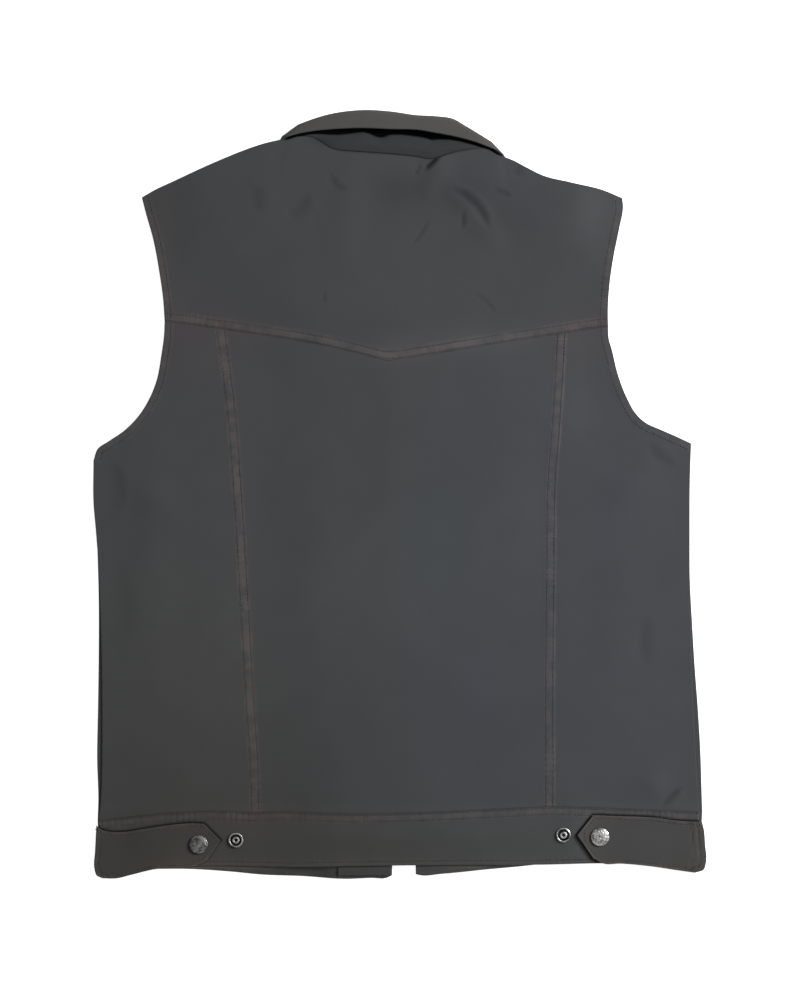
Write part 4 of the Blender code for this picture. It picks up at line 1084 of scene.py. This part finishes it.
def side_grid(low, high, table, armhole, long_seam, side):
    """Plan points of a side panel, its outer edge the side seam and the armhole. side is -1 left, 1 right."""
    outer = joined(
        graded(side_points(table, "back"), SIDE_ROWS_LOW, from_end=False),
        graded(armhole[::-1], SIDE_ROWS_HIGH, from_start=False),
    )
    inner = graded(long_seam[::-1], SIDE_ROWS_LOW + SIDE_ROWS_HIGH)
    edges, sewn = ((outer, inner), "right") if side < 0 else ((inner, outer), "left")
    grid = between(graded(low, SIDE_COLUMNS), graded(high, SIDE_COLUMNS), *edges)
    return tucked(grid, bottom=SEWN_IN, top=SEWN_IN, **{sewn: SEWN_IN})


side_left = side_grid(WAIST_LEFT, YOKE_LEFT, LEFT_SIDE, ARMHOLE_LEFT_LOW, LONG_SEAM_LEFT, -1)
side_right = side_grid(WAIST_RIGHT, YOKE_RIGHT, RIGHT_SIDE, ARMHOLE_RIGHT_LOW, LONG_SEAM_RIGHT, 1)
for side_name, grid, armhole, long_line in (
    ("left", side_left, ARMHOLE_LEFT_LOW, long_left),
    ("right", side_right, ARMHOLE_RIGHT_LOW[::-1], long_right),
):
    seams = [armhole_seam(armhole), Seam(long_line, wear=0.5, groove=-0.1)] + shared_seams
    sewn_piece(
        "side_panel_" + side_name, grid, back_under, CLOTH, seams, "back_side_panel_" + side_name,
        shade_at=crease_shade,
    )

# Back waistband
# A doubled straight band, sewn on with two rows of stitches along its upper edge and one along the hem. It
# carries painted shadow along the tabs' edges, so their outlines are here.
Strap = namedtuple("Strap", "name outer lower tip upper side_stitches lower_shade")
STRAPS = (
    Strap(
        name="left",
        outer=(
            (-279, -361.1), (-284.7, -358.5), (-287.1, -351), (-286.4, -336), (-285.6, -320),
            (-285.2, -311.2),
        ),
        lower=(
            (-279, -361.1), (-266, -361.1), (-253, -358), (-231, -352.6), (-193.4, -349.8), (-181.2, -344),
        ),
        tip=(-168.4, -325.1),
        upper=(
            (-285.2, -311.2), (-281, -315), (-274, -317), (-261, -317.6), (-242, -314.8), (-209, -310.1),
            (-193.4, -309.2), (-184, -309.6),
        ),
        side_stitches=(4.5,),
        lower_shade=0.3,
    ),
    Strap(
        name="right",
        outer=((278, -355.8), (286.2, -353), (288.6, -345), (287.7, -330), (286, -313), (284.6, -308.0)),
        lower=(
            (278, -355.8), (266.8, -354.3), (234.8, -349.6), (207.5, -347.2), (192, -347.2), (182.1, -342),
        ),
        tip=(167, -320.4),
        upper=(
            (284.6, -308.0), (265.8, -307.2), (234.8, -303.5), (207.5, -302.5), (190, -301.8),
            (182.1, -301.6),
        ),
        side_stitches=(5.2, 10.9),
        lower_shade=0.98,
    ),
)
WAISTBAND_STITCHES, WAISTBAND_BAND = (1.2, 7.0), 7.8
HEM_STITCHES, HEM_BAND = (4.2,), 5.0
TAB_END_COLUMNS, WAISTBAND_ROWS = 112, 54
seam_grade = joined(
    graded(WAIST_LEFT, TAB_END_COLUMNS, from_end=False),
    stretch(WAIST_CENTRE, 2 * MIDDLE_HALF),
    graded(WAIST_RIGHT, TAB_END_COLUMNS, from_start=False),
)
hem = along(BACK_HEM, share(seam_grade))
waistband_grid = between(
    hem,
    seam_grade,
    graded((hem[0], seam_grade[0]), WAISTBAND_ROWS),
    graded((hem[-1], seam_grade[-1]), WAISTBAND_ROWS),
)
STRAP_SHADE, STRAP_SHADE_WIDTH = 0.98, 1.9


def painted_tab_shadow(x, y):
    """1, and darker with painted shadow in a narrow bell along the edges of the tabs, each lower one with its
    own darkness.
    """
    shade = np.ones_like(x)
    for strap in STRAPS:
        lower = np.concatenate([stretch(strap.lower[-3:]), [strap.tip]])
        upper = np.concatenate([[strap.tip], stretch(strap.upper[::-1])])
        for edge, dark in ((lower, strap.lower_shade), (upper, STRAP_SHADE)):
            away, _, _ = nearest(x, y, edge)
            shade = np.minimum(shade, 1.0 - dark * np.exp(-((away / STRAP_SHADE_WIDTH) ** 4)))
    return shade


waistband_seams = [
    Seam(
        waist_line[::-1], band=WAISTBAND_BAND, lift=0.3, rows=WAISTBAND_STITCHES, wear=0.45, groove=0.45,
        pull=0.9,
    ),
    Seam(stretch(BACK_HEM), band=HEM_BAND, lift=0.1, rows=HEM_STITCHES, wear=0.2, pull=0.4),
]
sewn_piece(
    "waistband", waistband_grid, back_under, DOUBLED, waistband_seams, "back_waistband",
    shade_at=painted_tab_shadow,
)

# Adjuster tabs
# A pointed strap of doubled cloth at each side seam, lying on the waistband, with a snap near its point. It
# is stitched all round, and again across where the side seam takes it in.
TAB, SOCKET_HEIGHT = 1.8, 1.0
TAB_RISE_START, TAB_RISE_END = 18.0, 62.0
TAB_RISE = SOCKET_HEIGHT + LAYER_GAP
TAB_OVERHANG = 7.0
TAB_COLUMNS, TAB_HALF_ROWS, POINT_SPARSE = 60, 17, 2
TAB_STITCHES, TAB_BAND, PAST_SIDE_STITCHES = (2.9,), 2.9, 1.0


def band_top(x, y):
    """Height of the back waistband's upper side, a doubled cloth above its underside."""
    return back_under(x, y) + DOUBLED


def tab_under(x, y):
    """Height of a tab's underside: on the waistband at the side seam, raised over the socket at its cap."""
    from_side = np.where(x < 0, x - SIDE_LEFT + TAB_OVERHANG, SIDE_RIGHT + TAB_OVERHANG - x)
    rise = TAB_RISE * ease((from_side - TAB_RISE_START) / (TAB_RISE_END - TAB_RISE_START))
    return band_top(x, y) + LAYER_GAP + rise


cloths["tab_cloth"] = charcoal_cloth(
    "tab_cloth", colour=(0.0375, 0.0370, 0.0365), worn_colour=(0.064, 0.057, 0.054),
    roughness=0.84, gloss=0.25, sheen=0.12,
)
for strap in STRAPS:
    outer = graded(strap.outer, 2 * TAB_HALF_ROWS)
    lower, upper = (graded(line, TAB_COLUMNS) for line in (strap.lower, strap.upper))
    point = joined(
        graded((strap.lower[-1], strap.tip), TAB_HALF_ROWS, from_end=False),
        graded((strap.tip, strap.upper[-1]), TAB_HALF_ROWS, from_start=False),
    )
    side = -1 if strap.name == "left" else 1
    first, last = (strap.lower, strap.upper[::-1]) if side < 0 else (strap.upper, strap.lower[::-1])
    outline = joined(stretch(first), point[::-POINT_SPARSE * side], stretch(last))
    side_line, side_band = stretch(strap.outer[::side]), strap.side_stitches[-1] + PAST_SIDE_STITCHES
    seams = [
        Seam(outline, band=TAB_BAND, lift=0.12, rows=TAB_STITCHES, wear=0.6, pull=0.8),
        Seam(side_line, band=side_band, lift=0.15, rows=strap.side_stitches, wear=0.45, pull=1.6),
    ]
    grid = either_side(lower, upper, outer, point, side)
    sewn_piece(
        "tab_cloth_" + strap.name, grid, tab_under, TAB, seams, "tab_" + strap.name,
        slot="tab_cloth",
    )

# Snaps
# Antique pewter press snaps: mottled domed caps with a rolled rim, and studs, a ring round a hollow post. The
# tabs' caps and the studs beside them show on the waistband, and the front closure's face the floor.
DENT_WAVES = 14
CAP_PROFILE = (
    (0.0, 1.0), (0.2, 0.995), (0.4, 0.97), (0.6, 0.90), (0.76, 0.80), (0.84, 0.72), (0.88, 0.67),
    (0.92, 0.69), (0.965, 0.62), (0.995, 0.44), (1.0, 0.28), (0.985, 0.12), (0.94, 0.0), (0.0, 0.0),
)
STUD_PROFILE = (
    (0.0, 0.25), (0.14, 0.25), (0.19, 0.3), (0.21, 0.9), (0.25, 1.0), (0.38, 1.0), (0.44, 0.92), (0.48, 0.4),
    (0.52, 0.22), (0.64, 0.22), (0.69, 0.32), (0.74, 0.6), (0.80, 0.72), (0.88, 0.70), (0.95, 0.55),
    (1.0, 0.3), (0.985, 0.0), (0.0, 0.0),
)
SOCKET_PROFILE = ((0.0, 1.0), (0.9, 1.0), (0.985, 0.85), (1.0, 0.5), (0.985, 0.15), (0.9, 0.0), (0.0, 0.0))
SNAP_TURNS = 56
CLOSURE_SNAPS, CLOSURE_SEED = 5, 10
DENT_DEPTH, DENT_SIZES, DENTED_SHARE = 0.07, (1.3, 3.2), 0.86
PROFILE_STEPS, UNDER_POINTS = 3, 2.5
HOLLOW_TONE, HOLLOW_LEVEL, HOLLOW_RISE = 0.06, 0.3, 0.35


def dents(x, y, seed):
    """Mottling of a struck surface: waves of a millimetre or two in all directions, added up."""
    chance = np.random.default_rng(seed)
    height = np.zeros_like(x)
    for _ in range(DENT_WAVES):
        heading = chance.uniform(0, np.pi)
        length = chance.uniform(*DENT_SIZES)
        phase = chance.uniform(0, 2 * np.pi)
        height += np.sin(2 * np.pi * (x * np.cos(heading) + y * np.sin(heading)) / length + phase)
    return height / np.sqrt(DENT_WAVES)


def turned_snap(name, node, profile, dent_seed=None, face_down=False, tone=1.0):
    """A round piece in its node's box: a profile of radius and height, in even steps between its points,
    turned round the axis and closed at its poles. Low in its hollows the metal is dark."""
    low, high = (np.array(corner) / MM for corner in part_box(node))
    radius, height = (high - low)[0] / 2, (high - low)[2]
    centre = (low + high) / 2
    knots = np.arange(len(profile), dtype=float)
    at = np.linspace(0, len(profile) - 1, PROFILE_STEPS * (len(profile) - 1) + 1)
    lines = np.stack([np.interp(at, knots, np.array(profile)[:, k]) for k in range(2)], axis=1)[1:-1]
    angle = np.arange(SNAP_TURNS) * 2 * np.pi / SNAP_TURNS
    x = radius * lines[:, :1] * np.cos(angle)
    y = radius * lines[:, :1] * np.sin(angle)
    z = height * lines[:, 1:] + np.zeros_like(x)
    top_side = (at[1:-1, None] < len(profile) - UNDER_POINTS) & (lines[:, :1] < DENTED_SHARE)
    if dent_seed is not None:
        z += DENT_DEPTH * dents(x, y, dent_seed) * top_side
    ends = np.array([[0.0, 0.0, height * profile[0][1]], [0.0, 0.0, 0.0]])
    points = np.concatenate([np.dstack([x, y, z]).reshape(-1, 3), ends])
    if face_down:
        points[:, 1:] *= -1
        points[:, 2] += height
    points += (centre[0], centre[1], low[2])
    index = np.arange(len(lines) * SNAP_TURNS).reshape(len(lines), SNAP_TURNS)
    following = np.roll(index, -1, axis=1)
    walls = np.stack([index[:-1], following[:-1], following[1:], index[1:]], axis=-1).reshape(-1, 4).tolist()
    top_fan = np.stack([index[0], following[0], np.full(SNAP_TURNS, len(points) - 2)], axis=-1).tolist()
    low_fan = np.stack([following[-1], index[-1], np.full(SNAP_TURNS, len(points) - 1)], axis=-1).tolist()
    made = finished(name, points, walls + top_fan + low_fan, pewter)
    level = np.concatenate([np.repeat(lines[:, 1], SNAP_TURNS), [profile[0][1], 0.0]])
    worn = tone * (HOLLOW_TONE + (1.0 - HOLLOW_TONE) * ease((level - HOLLOW_LEVEL) / HOLLOW_RISE))
    made.data.attributes.new("tone", "FLOAT", "POINT").data.foreach_set("value", worn)
    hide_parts(node)


PEWTER_DARK, PEWTER_BRIGHT = (0.10, 0.098, 0.095, 1.0), (0.76, 0.75, 0.74, 1.0)
FINE_MOTTLE, BROAD_MOTTLE = (700.0, 4.0, 0.6), (180.0, 2.0, 0.5)
MOTTLE_LOW, MOTTLE_HIGH = 0.82, 1.18
ROUGH_IN_DARK, ROUGH_WHERE_RUBBED, PEWTER_BUMP = 0.55, 0.32, (0.5, 0.0003)


def antique_pewter():
    """Pewter darkened in its hollows and rubbed bright on its high places, by two scales of noise."""
    made, tree, shader = new_material("antique_pewter")
    scales = {0: noise(tree, *FINE_MOTTLE), 1: noise(tree, *BROAD_MOTTLE)}
    both = add_node(tree, "Math", scales, operation="ADD").outputs[0]
    level = mapped(tree, both, MOTTLE_LOW, MOTTLE_HIGH, 0.0, 1.0)
    tone = add_node(tree, "Attribute", attribute_name="tone").outputs["Color"]
    mottled = blended(tree, level, PEWTER_DARK, PEWTER_BRIGHT)
    tree.links.new(blended(tree, 1.0, mottled, tone, "MULTIPLY"), shader.inputs["Base Color"])
    rough = mapped(tree, level, 0.0, 1.0, ROUGH_IN_DARK, ROUGH_WHERE_RUBBED)
    tree.links.new(rough, shader.inputs["Roughness"])
    bumped(tree, shader, both, *PEWTER_BUMP)
    shader.inputs["Metallic"].default_value = 1.0
    return made


pewter = antique_pewter()
for seed, side_name, cap_tone, stud_tone in ((3, "left", 0.43, 0.68), (4, "right", 1.0, 1.0)):
    turned_snap("cap_" + side_name, "tab_cap_" + side_name, CAP_PROFILE, dent_seed=seed, tone=cap_tone)
    turned_snap("stud_" + side_name, "waist_stud_" + side_name, STUD_PROFILE, tone=stud_tone)
    turned_snap("socket_" + side_name, "tab_socket_" + side_name, SOCKET_PROFILE)
for number in range(1, CLOSURE_SNAPS + 1):
    turned_snap(
        f"closure_cap_{number}", f"front_cap_{number}", CAP_PROFILE, dent_seed=CLOSURE_SEED + number,
        face_down=True,
    )
    turned_snap(f"closure_stud_{number}", f"front_stud_{number}", STUD_PROFILE, face_down=True)

# Floor, light and camera
# A plain white floor, one large soft lamp above and to the wearer's right, an even white surround, and a
# camera straight above the middle of the back.
FLOOR_SIZE, FLOOR_DROP, FLOOR_GLOW = 6.0, 0.0006, 0.75
FLOOR_NOISE, FLOOR_TONES = (0.5, 2.0), (0.93, 0.95)
FLOOR_ROUGHNESS, FLOOR_GLOSS = 0.9, 0.1
bpy.ops.mesh.primitive_plane_add(size=FLOOR_SIZE, location=(0.0, 0.0, -FLOOR_DROP))
floor = bpy.context.object
floor.name = "floor"
floor_paint, floor_tree, floor_shader = new_material("floor_paint")
floor_tone = mapped(floor_tree, noise(floor_tree, *FLOOR_NOISE), 0.0, 1.0, *FLOOR_TONES)
floor_tree.links.new(floor_tone, floor_shader.inputs["Base Color"])
floor_shader.inputs["Roughness"].default_value = FLOOR_ROUGHNESS
floor_shader.inputs["Emission Color"].default_value = (1.0, 1.0, 1.0, 1.0)
floor_shader.inputs["Emission Strength"].default_value = FLOOR_GLOW
floor_shader.inputs["Specular IOR Level"].default_value = FLOOR_GLOSS
floor.data.materials.append(floor_paint)

LAMP_PLACE, LAMP_SIZE, LAMP_POWER = (2.2, 0.8, 1.8), 1.2, 116.0
SURROUND_STRENGTH = 0.40
lamp_data = bpy.data.lights.new("soft_lamp", "AREA")
lamp_data.size = LAMP_SIZE
lamp_data.energy = LAMP_POWER
lamp = bpy.data.objects.new("soft_lamp", lamp_data)
lamp.location = LAMP_PLACE
lamp.rotation_euler = Vector(LAMP_PLACE).to_track_quat("Z", "Y").to_euler()
bpy.context.scene.collection.objects.link(lamp)

surround = bpy.data.worlds.new("surround")
surround.use_nodes = True
background = surround.node_tree.nodes["Background"]
background.inputs["Color"].default_value = (1.0, 1.0, 1.0, 1.0)
background.inputs["Strength"].default_value = SURROUND_STRENGTH
bpy.context.scene.world = surround
bpy.context.scene.view_settings.view_transform = "Standard"

VIEW_HEIGHT, SENSOR, LENS = 0.941, 36.0, 200.0
FOCUS_HEIGHT, VIEW_MIDDLE = 0.004, (0.0005, -0.0052)
camera_data = bpy.data.cameras.new("camera")
camera_data.sensor_width = SENSOR
camera_data.lens = LENS
camera = bpy.data.objects.new("camera", camera_data)
camera.location = (*VIEW_MIDDLE, FOCUS_HEIGHT + VIEW_HEIGHT * LENS / SENSOR)
bpy.context.scene.collection.objects.link(camera)
bpy.context.scene.camera = camera
